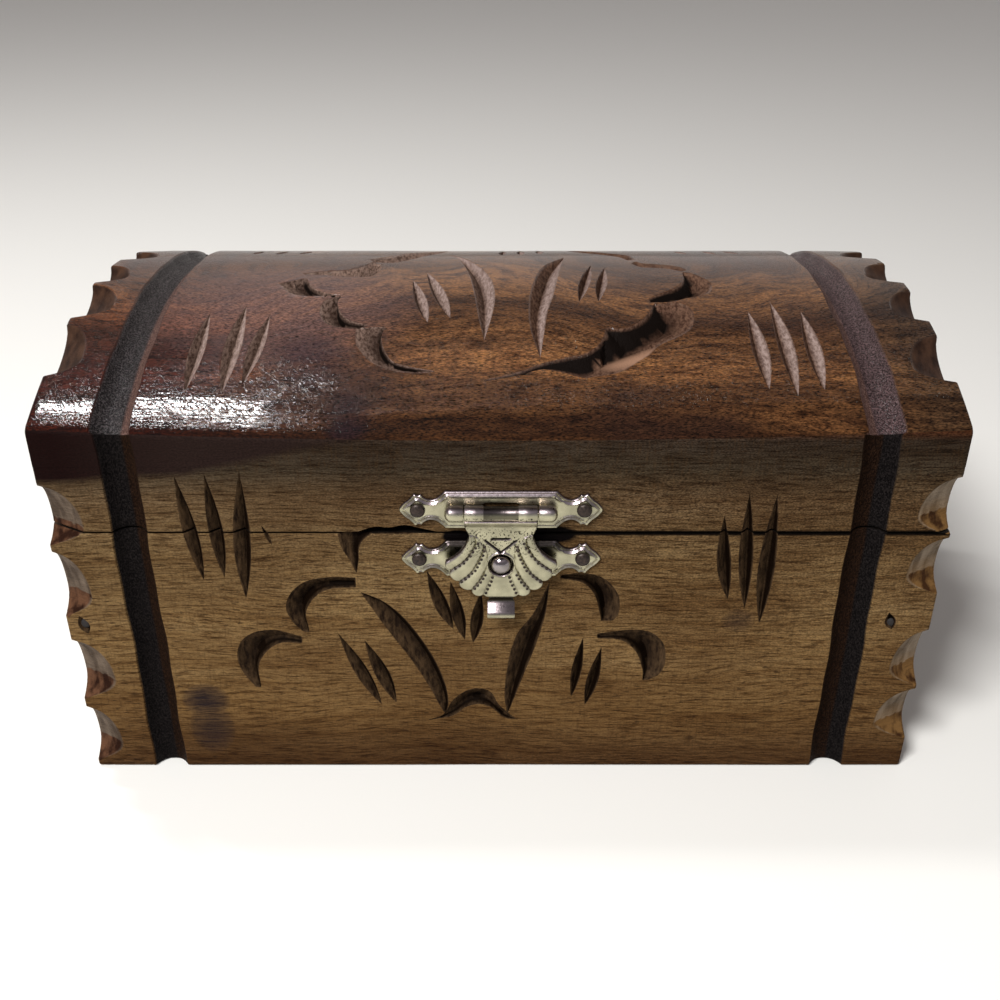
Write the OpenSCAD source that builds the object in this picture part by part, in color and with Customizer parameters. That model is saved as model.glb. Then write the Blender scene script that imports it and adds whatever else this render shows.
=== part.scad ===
// Carved wooden keepsake box with an arched lid, two back hinges and a shell-shaped front hasp.
// Origin: centre of the bottom face. X runs along the box, Y from front to back, Z up.
// The closed lid and the closed hasp are drawn. All sizes are in millimetres.

/* [Box] */
// Length of the box over the front board
box_length = 178; // [160:1:240]
// Depth of the box from front face to back face
box_depth = 104; // [90:1:140]
// Height of the rim of the lower box
rim_height = 60.6; // [56:0.2:90]
// Thickness of the front and back boards, and of the lid's long rails
board_t = 9; // [8:0.5:12]
// Thickness of the end boards, and of the lid's end rails
end_t = 10; // [9:0.5:14]
// Thickness of the floor board
floor_t = 6; // [4:0.5:10]

/* [Lid] */
// Open seam between the rim and the closed lid
seam_gap = 0.4; // [0.2:0.1:1]
// Height of the lid's rails below the top slab
rail_height = 14.5; // [13:0.5:24]
// Thickness of the top slab at its front and back edges
slab_edge = 8; // [6:0.5:14]
// Rise of the arch above the edges of the slab
arch_rise = 11; // [8:0.5:20]

/* [Carving] */
// Distance of each strap groove's middle from the end of the box
strap_inset = 16.4; // [14:0.2:24]
// Width of the strap grooves at the surface
strap_width = 7; // [5:0.2:9]
// Depth of the strap grooves
strap_depth = 2.3; // [1.5:0.1:3]
// Depth of the straight gouge marks
mark_depth = 1.8; // [1:0.1:3]
// Depth of the crescent cuts
crescent_depth = 2.6; // [1:0.1:4]
// Reach of a corner scoop on the long face
scoop_face = 7; // [4:0.2:9]
// Reach of a corner scoop on the end face
scoop_end = 4.2; // [3:0.2:6]

/* [Hasp] */
// Distance of the hasp's middle from the middle of the box
hasp_x = 0.4; // [-5:0.1:5]
// Distance of each hasp plate's middle from the seam
hasp_offset = 5.6; // [5.4:0.1:8]
// Thickness of the hasp plates and the flap
hasp_t = 0.8; // [0.6:0.1:1.2]
// Length of the bar of a hasp plate
hasp_bar = 23.2; // [20:0.2:30]
// Height of the bar of a hasp plate
hasp_height = 8; // [7:0.2:10]
// Distance between the two nails of a hasp plate
hasp_nail_span = 32.4; // [30:0.2:40]
// Outer diameter of the hasp knuckles
hasp_knuckle_d = 3.3; // [3:0.1:4]
// Length of the flap's knuckle
hasp_knuckle_l = 14.2; // [12:0.2:18]
// Diameter of the hasp pin
hasp_pin_d = 1.4; // [1.2:0.1:1.6]
// Diameter of the catch stud
stud_d = 4.2; // [3:0.1:5]
// Height of the catch stud above its plate
stud_height = 3.4; // [3:0.1:4]

/* [Hinges] */
// Distance of each hinge's middle from the middle of the box
hinge_x = 50; // [35:1:55]
// Width of a hinge along the box
hinge_width = 20; // [18:0.5:26]
// Height of a hinge leaf from the seam
hinge_leaf_h = 9; // [8:0.5:11]
// Thickness of a hinge leaf
hinge_t = 0.8; // [0.6:0.1:1]
// Outer diameter of the hinge knuckles
hinge_knuckle_d = 3.2; // [3:0.1:4]
// Diameter of the hinge pins
hinge_pin_d = 1.4; // [1.2:0.1:1.6]

/* [Fits] */
// Radial clearance of a pin in a turning knuckle
pin_fit = 0.05; // [0.02:0.01:0.1]
// Radial clearance of a nail in its hole
nail_fit = 0.05; // [0.02:0.01:0.1]
// Gap between knuckles and what turns past them
turn_gap = 0.3; // [0.2:0.05:0.5]
// Radial gap between the catch stud and the flap's hole
stud_gap = 0.45; // [0.35:0.05:0.8]
// Gap between the catch plate and the closed flap
flap_gap = 0.9; // [0.5:0.05:1.2]

/* [Hidden] */
// Sides of the small circles
plain = 48;
$fn = plain;
// Sides of the large circles: the arch, its strap grooves and the arcs of the carving
fine = 288;

// Heights and half sizes that follow from the driving sizes
half_l = box_length / 2;
half_d = box_depth / 2;
lid_bottom = rim_height + seam_gap;
slab_bottom = lid_bottom + rail_height;
crease_z = slab_bottom + slab_edge;
seam_z = rim_height + seam_gap / 2;
arch_r = (half_d * half_d + arch_rise * arch_rise) / (2 * arch_rise);
arch_z = crease_z + arch_rise - arch_r;
strap_x = half_l - strap_inset;

// How far a cutting shape runs past the surface it cuts
over = 1;
// Slack at the blind end of a nail hole
tip_slack = 0.5;

// Board nails: height, distance of the front ones from their own end, and size
board_nail_z = 38.5;
front_nail_insets = [3.5, 8];
back_nail_insets = [5, 5];
board_nail_l = 24;
board_nail_d = 1.4;
board_nail_head_d = 2.4;
board_nail_head_t = 0.6;
board_nail_sunk = 0.5;

// Small nails of the hasp and the hinges
tack_l = 7.5;
tack_d = 1.3;
hasp_tack_head_d = 3;
hinge_tack_head_d = 2.4;
tack_head_t = 0.7;
hinge_tack_x = 6.5;
hinge_tack_drop = 5.6;

// Hasp: the turning axis lies in front of the lid's face, clear of it by turn_gap
hasp_axis_y = -half_d - turn_gap - hasp_knuckle_d / 2;
hasp_axis_z = seam_z + hasp_offset;
catch_z = seam_z - hasp_offset;
stud_drop = hasp_axis_z - catch_z;
hasp_ear_l = 4;
hasp_ear_gap = 0.2;
hasp_pin_half = hasp_knuckle_l / 2 + hasp_ear_gap + hasp_ear_l - hasp_knuckle_d / 2;
// Pointed end of a hasp plate: radii of its lobe and its points, how far the upper and lower points
// lie beyond the nail, and the width of the strip that joins it to the bar
plate_lobe_r = 2.7;
plate_point_r = 1.1;
plate_point_lead = 0.6;
plate_strip_w = 3.2;
// Flap below the axis: neck, scalloped shell around the stud, pull tab and rolled lip
flap_back_y = -half_d - hasp_t - flap_gap;
flap_neck_w = 11.8;
flap_shell_half_w = 8.1;
flap_lobe_r = 2.4;
flap_lobe_drop = 5.6;
flap_lobe_lift = 0.6;
flap_lobe_step = 25;
flap_lobe_last = 100;
flap_shell_r = 6.9;
flap_tab_w = 5.6;
flap_length = 23.2;
flap_lip_r = 1.2;
// Stud: diameter of its rivet and radius of its domed top
stud_rivet_d = stud_d / 2;
stud_dome_r = 0.625 * stud_d;

// Hinges: the turning axis lies behind the back face, clear of it by turn_gap
hinge_axis_y = half_d + turn_gap + hinge_knuckle_d / 2;
knuckle_third = (hinge_width - 2 * turn_gap) / 3;

// Straight and leaf-shaped gouge marks on the front, each as
// [x of the upper end, height above the seam, x and height of the lower end, bulges to its two sides]
front_marks = [
    [-62, 13, -59.5, -11, 1.6, 1.6],
    [-56.5, 13.5, -55.5, -10.5, 1.6, 1.6],
    [-49.5, 14, -51.5, -15.5, 1.6, 1.6],
    [44, 2.5, 47, -16, 1.4, 1.4],
    [48.5, 9, 50.5, -18, 1.5, 1.5],
    [53.5, 8.5, 54, -22, 1.7, 1.7],
    [-33.5, -24.5, -25.5, -43.5, 1.3, 1.3],
    [-28, -26.5, -22, -42.5, 1.4, 1.4],
    [17.5, -25.5, 15.5, -41, 1.2, 1.2],
    [21.5, -28.5, 18.5, -43.5, 1.5, 1.5],
    [-14.5, -9, -9.5, -23, 1.4, 1.4],
    [-10, -12, -7, -25.5, 1.4, 1.4],
    [-3.5, -14.5, -5.5, -26.5, 1.2, 1.2],
    [-28, -14, -11.5, -45.5, 0.4, 4.6],
    [10, -12.5, 2, -46, 3.5, 0.5]];

// Crescent cuts on the front, each as
// [x and height of the first tip, x and height of the second tip, outer bulge, inner bulge]
front_crescents = [
    [-28.5, -9, -18, 1.5, 8, 4],
    [-40, -24, -29, -12, 8, 4],
    [-52, -38.5, -41, -26, 9, 4],
    [12, -10.5, 23.5, -21, 6.5, 2.5],
    [20.5, -25, 31.5, -36.5, 8.5, 3.5],
    [-14.5, -47, 3, -47, 8, 3.5]];

// Gouge marks on the arch, each as
// [x of the rear end, its arc distance behind the crown, x and distance of the front end, bulges]
arch_marks = [
    [-60.5, -17.5, -60.5, -42.5, 1.6, 1.6],
    [-53.5, -14, -53.5, -43, 1.6, 1.6],
    [-48, -18, -50, -40.5, 1.6, 1.6],
    [52, -16.5, 52.5, -41.5, 1.6, 1.6],
    [57.5, -12, 57.5, -43.5, 1.6, 1.6],
    [63, -16.5, 63, -42, 1.6, 1.6],
    [-18.5, 0, -15, -20.5, 1.3, 1.3],
    [-16, 6, -10, -19, 1.5, 1.5],
    [20.5, 10.5, 17, -11.5, 1.3, 1.3],
    [24, 9.5, 21, -11.5, 1.3, 1.3],
    [-11.5, 22.5, -3, -27.5, 0.4, 4],
    [15, 20.5, 8, -32.5, 4.2, 0.4],
    [1, 34, 1, 25, 1, 1],
    [5, 35, 5, 25, 1, 1],
    [9.5, 36, 9.5, 27, 1, 1]];

// Crescent cuts that outline the figure on the arch, in the same order as the front ones
arch_crescents = [
    [-29, -23, -15, -36.5, 5.5, 2],
    [-37, -9, -24.5, -22.5, 5, 1.8],
    [-47.5, 1.5, -35, -9, 4, 1.2],
    [-41, 5.5, -28.5, 20, -4.5, -1.5],
    [-29, 19, -15, 35, -4, -1],
    [9, -36, 21.5, -25, -6.5, -2.5],
    [21.5, -33.5, 33, -19.5, -6.5, -2.5],
    [33, -11, 46.5, 0.5, -5, -1.5],
    [40.5, 6, 28, 21, 4.5, 1.5],
    [29, 21, 18, 34, 4, 1.2]];

// Heights of the corner scoops' middles above the floor, left and right, and their length
left_scoops = [9.5, 26.5, 48.5, 64.5];
right_scoops = [14.5, 30, 53, 66.5];
scoop_length = 14.5;
// Arc distances of the scoops' middles along the end edges of the arch, and their length
arch_scoops = [-30.5, -11, 5.5, 24, 41];
arch_scoop_length = 15.5;

// A disc whose edge passes the origin and [chord, 0] and rises to `bulge` between them
module bulge_disc(chord, bulge) {
    r = (chord * chord / 4 + bulge * bulge) / (2 * bulge);
    translate([chord / 2, bulge - r]) circle(r = r, $fn = fine);
}

// A flat blade between two arcs from point a to point b
module blade(a, b, left, right) {
    d = b - a;
    translate(a) rotate(atan2(d[1], d[0])) intersection() {
        bulge_disc(norm(d), left);
        mirror([0, 1]) bulge_disc(norm(d), right);
    }
}

// A crescent between an outer and an inner arc from a to b; negative bulges turn it over
module crescent(a, b, outer, inner) {
    d = b - a;
    translate(a) rotate(atan2(d[1], d[0])) mirror([0, outer < 0 ? 1 : 0]) difference() {
        bulge_disc(norm(d), abs(outer));
        bulge_disc(norm(d), abs(inner));
    }
}

// Turns a flat figure in x and height into a cut of the given depth in the front face
module into_front(depth) {
    translate([0, -half_d + depth, seam_z]) rotate([90, 0, 0])
        linear_extrude(depth + over) children();
}

// Turns a flat figure in x and arc distance into a cut in the arch, about the distance s
module into_arch(s, depth) {
    turn = s / arch_r * 180 / PI;
    translate([0, 0, arch_z]) rotate([-turn, 0, 0]) translate([0, -s, arch_r - depth])
        linear_extrude(depth + 2 * over) children();
}

module front_carving() {
    for (m = front_marks)
        into_front(mark_depth) blade([m[0], m[1]], [m[2], m[3]], m[4], m[5]);
    for (c = front_crescents)
        into_front(crescent_depth) crescent([c[0], c[1]], [c[2], c[3]], c[4], c[5]);
}

module arch_carving() {
    for (m = arch_marks)
        into_arch((m[1] + m[3]) / 2, mark_depth) blade([m[0], m[1]], [m[2], m[3]], m[4], m[5]);
    for (c = arch_crescents)
        into_arch((c[1] + c[3]) / 2, crescent_depth)
            crescent([c[0], c[1]], [c[2], c[3]], c[4], c[5]);
}

// Strap grooves: round-bottomed channels down the long faces and over the arch
strap_r = (strap_width * strap_width / 4 + strap_depth * strap_depth) / (2 * strap_depth);
strap_out = strap_r - strap_depth;

module face_straps(side) {
    for (x = [-strap_x, strap_x])
        translate([x, side * (half_d + strap_out), -over])
            cylinder(r = strap_r, h = crease_z + strap_out + 2 * over);
}

module arch_straps() {
    for (x = [-strap_x, strap_x])
        translate([x, 0, arch_z]) rotate([0, 90, 0])
            rotate_extrude($fn = fine) translate([arch_r + strap_out, 0]) circle(r = strap_r, $fn = plain);
}

// A scoop across an edge that runs along Z at the origin, with the body in +X and +Y.
// It reaches `face` along X and `end` along Y at its middle and fades out at its two ends.
module scoop(length, face, end) {
    lay = atan2(end, face);
    sag = face * sin(lay);
    r = (length * length / 4 + sag * sag) / (2 * sag);
    translate([face / 2, end / 2, 0]) rotate([0, 0, -lay]) translate([0, -r, 0])
        rotate([0, 90, 0]) cylinder(r = r, h = 4 * (face + end), center = true);
}

module corner_scoops(side) {
    for (z = left_scoops)
        translate([-half_l, side * half_d, z]) mirror([0, side > 0 ? 1 : 0, 0])
            scoop(scoop_length, scoop_face, scoop_end);
    for (z = right_scoops)
        translate([half_l, side * half_d, z]) mirror([1, 0, 0])
            mirror([0, side > 0 ? 1 : 0, 0])
                scoop(scoop_length, scoop_face, scoop_end);
}

module arch_scoops_cut() {
    for (s = arch_scoops, side = [0, 1])
        mirror([side, 0, 0]) translate([0, 0, arch_z])
            rotate([-s / arch_r * 180 / PI, 0, 0]) translate([-half_l, 0, arch_r])
                rotate([-90, 0, 0]) scoop(arch_scoop_length, scoop_face, scoop_end);
}

// A nail along +Y with the top of its head at the origin
module nail(head_d, head_t, shank_d, length) {
    rotate([-90, 0, 0]) {
        cylinder(d = head_d, h = head_t);
        cylinder(d = shank_d, h = length);
    }
}

// The hole for such a nail
module nail_hole(head_d, head_t, shank_d, length) {
    nail(head_d + 2 * nail_fit, head_t, shank_d + 2 * nail_fit, length + tip_slack);
    translate([0, -over, 0]) rotate([-90, 0, 0]) cylinder(d = head_d + 2 * nail_fit, h = over);
}

// Puts its children at each board nail of one long face, pointing into the box
module at_board_nails(side) {
    insets = side < 0 ? front_nail_insets : back_nail_insets;
    for (i = [0, 1])
        translate([(i == 0 ? -1 : 1) * (half_l - insets[i]), side * (half_d - board_nail_sunk),
            board_nail_z])
            mirror([0, side > 0 ? 1 : 0, 0]) children();
}

module board_nail_holes(side) {
    at_board_nails(side)
        nail_hole(board_nail_head_d, board_nail_head_t, board_nail_d, board_nail_l);
}

// Puts its children at the two nails of the hasp plate at height z
module at_hasp_tacks(z) {
    for (x = [-hasp_nail_span / 2, hasp_nail_span / 2])
        translate([hasp_x + x, -half_d - hasp_t - tack_head_t, z]) children();
}

module hasp_tack_holes(z) {
    at_hasp_tacks(z) nail_hole(hasp_tack_head_d, tack_head_t, tack_d, tack_l);
}

// Puts its children at the two nails of a hinge leaf; up is 1 for the lid's and -1 for the box's
module at_hinge_tacks(x, up) {
    for (dx = [-hinge_tack_x, hinge_tack_x])
        translate([x + dx, half_d + hinge_t + tack_head_t, seam_z + up * hinge_tack_drop])
            mirror([0, 1, 0]) children();
}

module hinge_tack_holes(up) {
    for (x = [-hinge_x, hinge_x])
        at_hinge_tacks(x, up) nail_hole(hinge_tack_head_d, tack_head_t, tack_d, tack_l);
}

// A long board of the box or the lid between two heights; side is -1 for the front
module long_board(side, z0, z1) {
    translate([-half_l, side < 0 ? -half_d : half_d - board_t, z0])
        cube([box_length, board_t, z1 - z0]);
}

// A short board between the long ones; side is -1 for the left
module short_board(side, z0, z1) {
    translate([side < 0 ? -half_l : half_l - end_t, -half_d + board_t, z0])
        cube([end_t, box_depth - 2 * board_t, z1 - z0]);
}

module front_board() {
    color("#7a5634") difference() {
        long_board(-1, 0, rim_height);
        face_straps(-1);
        corner_scoops(-1);
        front_carving();
        board_nail_holes(-1);
        hasp_tack_holes(catch_z);
    }
}

module back_board() {
    color("#7a5634") difference() {
        long_board(1, 0, rim_height);
        face_straps(1);
        corner_scoops(1);
        board_nail_holes(1);
        hinge_tack_holes(-1);
    }
}

module end_board(side) {
    color("#6e4a2c") difference() {
        short_board(side, 0, rim_height);
        board_nail_holes(-1);
        board_nail_holes(1);
    }
}

module left_end_board() {
    end_board(-1);
}

module right_end_board() {
    end_board(1);
}

module floor_board() {
    color("#83603c") translate([-half_l + end_t, -half_d + board_t, 0])
        cube([box_length - 2 * end_t, box_depth - 2 * board_t, floor_t]);
}

module front_board_nails() {
    color("#2d2622") at_board_nails(-1)
        nail(board_nail_head_d, board_nail_head_t, board_nail_d, board_nail_l);
}

module back_board_nails() {
    color("#2d2622") at_board_nails(1)
        nail(board_nail_head_d, board_nail_head_t, board_nail_d, board_nail_l);
}

// The arched slab with the straight ends of its strap grooves
module slab_blank() {
    difference() {
        intersection() {
            translate([-half_l, -half_d, slab_bottom])
                cube([box_length, box_depth, slab_edge + arch_rise + over]);
            translate([-half_l, 0, arch_z]) rotate([0, 90, 0])
                cylinder(r = arch_r, h = box_length, $fn = fine);
        }
        face_straps(-1);
        face_straps(1);
    }
}

module lid_top() {
    color("#5c3420") difference() {
        slab_blank();
        arch_straps();
        arch_scoops_cut();
        arch_carving();
    }
}

module lid_front_rail() {
    color("#664029") difference() {
        long_board(-1, lid_bottom, slab_bottom);
        face_straps(-1);
        corner_scoops(-1);
        front_carving();
        hasp_tack_holes(hasp_axis_z);
    }
}

module lid_back_rail() {
    color("#664029") difference() {
        long_board(1, lid_bottom, slab_bottom);
        face_straps(1);
        corner_scoops(1);
        hinge_tack_holes(1);
    }
}

module lid_left_end() {
    color("#5f3b26") short_board(-1, lid_bottom, slab_bottom);
}

module lid_right_end() {
    color("#5f3b26") short_board(1, lid_bottom, slab_bottom);
}

// Outline of a hasp plate: a bar with a lobed and pointed ear at each end
module hasp_outline() {
    nail_x = hasp_nail_span / 2;
    square([hasp_bar, hasp_height], center = true);
    for (side = [0, 1])
        mirror([side, 0]) {
            translate([nail_x, 0]) circle(r = plate_lobe_r);
            translate([nail_x + plate_lobe_r, 0]) circle(r = plate_point_r);
            for (up = [-1, 1])
                translate([nail_x + plate_point_lead, up * plate_lobe_r])
                    circle(r = plate_point_r);
            translate([hasp_bar / 2 - over, -plate_strip_w / 2])
                square([nail_x - hasp_bar / 2 + over, plate_strip_w]);
        }
}

// A hasp plate on the front face at height z
module hasp_plate(z) {
    translate([hasp_x, -half_d, z]) rotate([90, 0, 0])
        linear_extrude(hasp_t) hasp_outline();
}

module hasp_catch_plate() {
    color("#c9c4ac") difference() {
        hasp_plate(catch_z);
        hasp_tack_holes(catch_z);
        translate([hasp_x, -half_d, catch_z]) rotate([90, 0, 0])
            translate([0, 0, -over]) cylinder(d = stud_rivet_d, h = hasp_t + 2 * over);
    }
}

// The stud: a round post with a domed top, riveted through the catch plate
module hasp_catch_stud() {
    color("#c9c4ac") translate([hasp_x, -half_d, catch_z]) rotate([90, 0, 0]) {
        cylinder(d = stud_rivet_d, h = hasp_t);
        translate([0, 0, hasp_t]) intersection() {
            cylinder(d = stud_d, h = stud_height);
            translate([0, 0, stud_height - stud_dome_r]) sphere(r = stud_dome_r);
        }
    }
}

module hasp_catch_nails() {
    color("#3a302a") at_hasp_tacks(catch_z)
        nail(hasp_tack_head_d, tack_head_t, tack_d, tack_l);
}

module hasp_lid_nails() {
    color("#3a302a") at_hasp_tacks(hasp_axis_z)
        nail(hasp_tack_head_d, tack_head_t, tack_d, tack_l);
}

// A bullet-ended ear of the lid plate on the knuckle axis, to the right of the flap
module hasp_ear() {
    r = hasp_knuckle_d / 2;
    start = hasp_knuckle_l / 2 + hasp_ear_gap;
    translate([start, 0, 0]) rotate([0, 90, 0]) cylinder(r = r, h = hasp_ear_l - r);
    translate([start + hasp_ear_l - r, 0, 0]) sphere(r = r);
    translate([start, 0, -r]) cube([hasp_ear_l - r, turn_gap + r, 2 * r]);
}

module hasp_lid_plate() {
    slot_r = hasp_knuckle_d / 2 + turn_gap;
    slot_l = hasp_knuckle_l + 2 * hasp_ear_gap;
    color("#cfcab2") difference() {
        union() {
            hasp_plate(hasp_axis_z);
            translate([hasp_x, hasp_axis_y, hasp_axis_z]) {
                hasp_ear();
                mirror([1, 0, 0]) hasp_ear();
            }
        }
        hasp_tack_holes(hasp_axis_z);
        translate([hasp_x - slot_l / 2, -half_d - hasp_t - over, hasp_axis_z - slot_r])
            cube([slot_l, hasp_t + 2 * over, 2 * slot_r]);
        translate([hasp_x, hasp_axis_y, hasp_axis_z]) rotate([0, 90, 0])
            cylinder(d = hasp_pin_d + 2 * pin_fit, h = 2 * (hasp_pin_half + pin_fit), center = true);
    }
}

module hasp_pin() {
    color("#b5b19c") translate([hasp_x, hasp_axis_y, hasp_axis_z]) rotate([0, 90, 0])
        cylinder(d = hasp_pin_d, h = 2 * hasp_pin_half, center = true);
}

// Outline of the flap below its axis: neck, scalloped shell and pull tab
module flap_outline() {
    translate([-flap_neck_w / 2, -stud_drop])
        square([flap_neck_w, stud_drop]);
    translate([0, -stud_drop]) circle(r = flap_shell_r);
    for (a = [-flap_lobe_last:flap_lobe_step:flap_lobe_last])
        translate([flap_shell_half_w * sin(a), flap_lobe_lift - stud_drop - flap_lobe_drop * cos(a)])
            circle(r = flap_lobe_r);
    translate([-flap_tab_w / 2, -flap_length + flap_lip_r])
        square([flap_tab_w, flap_length - stud_drop]);
}

module hasp_flap() {
    barrel_r = hasp_knuckle_d / 2;
    flap_y = flap_back_y - hasp_axis_y;
    color("#d3ceb6") translate([hasp_x, hasp_axis_y, hasp_axis_z]) difference() {
        union() {
            rotate([0, 90, 0]) cylinder(r = barrel_r, h = hasp_knuckle_l, center = true);
            translate([0, flap_y, 0]) rotate([90, 0, 0]) linear_extrude(hasp_t) flap_outline();
            translate([0, flap_y - flap_lip_r, -flap_length + flap_lip_r]) rotate([0, 90, 0])
                cylinder(r = flap_lip_r, h = flap_tab_w, center = true);
        }
        rotate([0, 90, 0])
            cylinder(d = hasp_pin_d + 2 * pin_fit, h = hasp_knuckle_l + 2 * over, center = true);
        translate([0, flap_y + over, -stud_drop]) rotate([90, 0, 0])
            cylinder(d = stud_d + 2 * stud_gap, h = hasp_t + 2 * over);
    }
}

// Middles of the knuckles of one leaf from the hinge's middle: the lid's has the centre one
function knuckle_places(up) = up > 0 ? [0] : [-knuckle_third - turn_gap, knuckle_third + turn_gap];

// A hinge leaf with its knuckles; up is 1 for the lid's leaf and -1 for the box's
module hinge_leaf(x, up) {
    barrel_r = hinge_knuckle_d / 2;
    plate_start = seam_gap / 2;
    color("#c4bfa9") translate([x, hinge_axis_y, seam_z]) difference() {
        union() {
            difference() {
                mirror([0, 0, up > 0 ? 0 : 1])
                    translate([-hinge_width / 2, half_d - hinge_axis_y, plate_start])
                        cube([hinge_width, hinge_t, hinge_leaf_h - plate_start]);
                for (place = knuckle_places(-up))
                    translate([place, 0, 0]) rotate([0, 90, 0])
                        cylinder(r = barrel_r + turn_gap, h = knuckle_third + 2 * turn_gap,
                            center = true);
            }
            for (place = knuckle_places(up))
                translate([place, 0, 0]) rotate([0, 90, 0])
                    cylinder(r = barrel_r, h = knuckle_third, center = true);
        }
        rotate([0, 90, 0])
            cylinder(d = hinge_pin_d + 2 * pin_fit, h = hinge_width + 2 * over, center = true);
        translate([-x, -hinge_axis_y, -seam_z]) hinge_tack_holes(up);
    }
}

module hinge_nails(x, up) {
    color("#b9b49d") at_hinge_tacks(x, up)
        nail(hinge_tack_head_d, tack_head_t, tack_d, tack_l);
}

module hinge_pin(x) {
    color("#a9a591") translate([x, hinge_axis_y, seam_z]) rotate([0, 90, 0])
        cylinder(d = hinge_pin_d, h = hinge_width, center = true);
}

module left_hinge_box_leaf() {
    hinge_leaf(-hinge_x, -1);
}

module right_hinge_box_leaf() {
    hinge_leaf(hinge_x, -1);
}

module left_hinge_lid_leaf() {
    hinge_leaf(-hinge_x, 1);
}

module right_hinge_lid_leaf() {
    hinge_leaf(hinge_x, 1);
}

module left_hinge_box_nails() {
    hinge_nails(-hinge_x, -1);
}

module right_hinge_box_nails() {
    hinge_nails(hinge_x, -1);
}

module left_hinge_lid_nails() {
    hinge_nails(-hinge_x, 1);
}

module right_hinge_lid_nails() {
    hinge_nails(hinge_x, 1);
}

module left_hinge_pin() {
    hinge_pin(-hinge_x);
}

module right_hinge_pin() {
    hinge_pin(hinge_x);
}

front_board();
back_board();
left_end_board();
right_end_board();
floor_board();
front_board_nails();
back_board_nails();
hasp_catch_plate();
hasp_catch_stud();
hasp_catch_nails();
left_hinge_box_leaf();
right_hinge_box_leaf();
left_hinge_box_nails();
right_hinge_box_nails();
lid_top();
lid_front_rail();
lid_back_rail();
lid_left_end();
lid_right_end();
hasp_lid_plate();
hasp_lid_nails();
hasp_pin();
hasp_flap();
left_hinge_lid_leaf();
right_hinge_lid_leaf();
left_hinge_lid_nails();
right_hinge_lid_nails();
left_hinge_pin();
right_hinge_pin();
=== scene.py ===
# The looks of a carved keepsake box with an arched lid and a shell-shaped hasp.
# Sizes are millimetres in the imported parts' own frame, and become metres when a mesh is made.
import math

import bmesh
import bpy
import numpy as np
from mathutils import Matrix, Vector, kdtree
from mathutils.geometry import delaunay_2d_cdt


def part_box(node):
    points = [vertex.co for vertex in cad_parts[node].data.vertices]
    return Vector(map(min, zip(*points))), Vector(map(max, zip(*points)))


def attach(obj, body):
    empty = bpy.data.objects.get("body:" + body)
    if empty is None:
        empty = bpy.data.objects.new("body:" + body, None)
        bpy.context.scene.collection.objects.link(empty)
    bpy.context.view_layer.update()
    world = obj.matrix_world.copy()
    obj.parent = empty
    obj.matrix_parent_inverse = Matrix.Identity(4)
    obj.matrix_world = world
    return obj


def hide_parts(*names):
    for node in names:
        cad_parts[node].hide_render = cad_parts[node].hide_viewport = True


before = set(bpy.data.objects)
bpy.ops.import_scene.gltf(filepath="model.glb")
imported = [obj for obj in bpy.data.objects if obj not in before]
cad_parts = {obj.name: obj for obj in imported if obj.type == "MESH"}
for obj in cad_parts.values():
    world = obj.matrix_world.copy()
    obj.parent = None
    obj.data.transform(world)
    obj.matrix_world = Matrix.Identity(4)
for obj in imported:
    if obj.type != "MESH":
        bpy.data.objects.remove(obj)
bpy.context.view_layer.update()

MM = 0.001
scene = bpy.context.scene


def node_box(node):
    """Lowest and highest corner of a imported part, in millimetres."""
    low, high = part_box(node)
    return np.array(low) / MM, np.array(high) / MM


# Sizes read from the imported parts
front_low, front_high = node_box("front_board")
half_length = front_high[0]
half_depth = -front_low[1]
rim_z = front_high[2]
front_inner_y = front_high[1]
rail_low, rail_high = node_box("lid_front_rail")
lid_z = rail_low[2]
slab_z = rail_high[2]
crown_z = node_box("lid_top")[1][2]
seam_z = (rim_z + lid_z) / 2
flap_low, flap_high = node_box("hasp_flap")
hasp_x = (flap_low[0] + flap_high[0]) / 2
lid_plate_low, lid_plate_high = node_box("hasp_lid_plate")
catch_low, catch_high = node_box("hasp_catch_plate")
hasp_z = (lid_plate_low[2] + lid_plate_high[2]) / 2
catch_z = (catch_low[2] + catch_high[2]) / 2
pin_low, pin_high = node_box("hasp_pin")
hasp_axis_out = -half_depth - (pin_low[1] + pin_high[1]) / 2

# The arch of the slab
slab_edge = 8.0
crease_z = slab_z + slab_edge
arch_rise = crown_z - crease_z
arch_radius = (half_depth**2 + arch_rise**2) / (2 * arch_rise)
arch_centre_z = crown_z - arch_radius
half_arc = arch_radius * math.asin(half_depth / arch_radius)
# How far the front crease sags below its ends at the middle, and how far up the arch that reaches
crease_sag = 2.2
sag_reach = 16.0
crease_round = 1.5

# Strap grooves: middle and half width on the front and on the arch, left and right
front_straps = [(-72.7, 3.6), (72.5, 3.7)]
arch_straps = [(-73.4, 3.9), (73.2, 3.7)]
strap_depth = 2.3

# Corner scoops of the long faces, as lower and upper heights
left_scoops = [(1.8, 16.7), (19.2, 34.5), (40.7, 56.2), (57.9, 71.3)]
right_scoops = [(8.2, 21.6), (22.7, 37.1), (46.4, 59.5), (60.4, 73.2)]
# Scoops along the arch's end edges, as arc distances from the crown, front to back
left_arch_scoops = [(-39.2, -21.5), (-19.3, -2.7), (-1.6, 11.2), (17.9, 31.4), (34.0, 48.0)]
right_arch_scoops = [(-41.0, -25.8), (-20.6, -6.3), (-1.8, 13.0), (18.8, 31.4), (34.5, 48.5)]
scoop_reach = 7.2
scoop_end = 4.2
# Where along its length a scoop is deepest, from its lower or front end
scoop_low_point = 0.34

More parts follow.
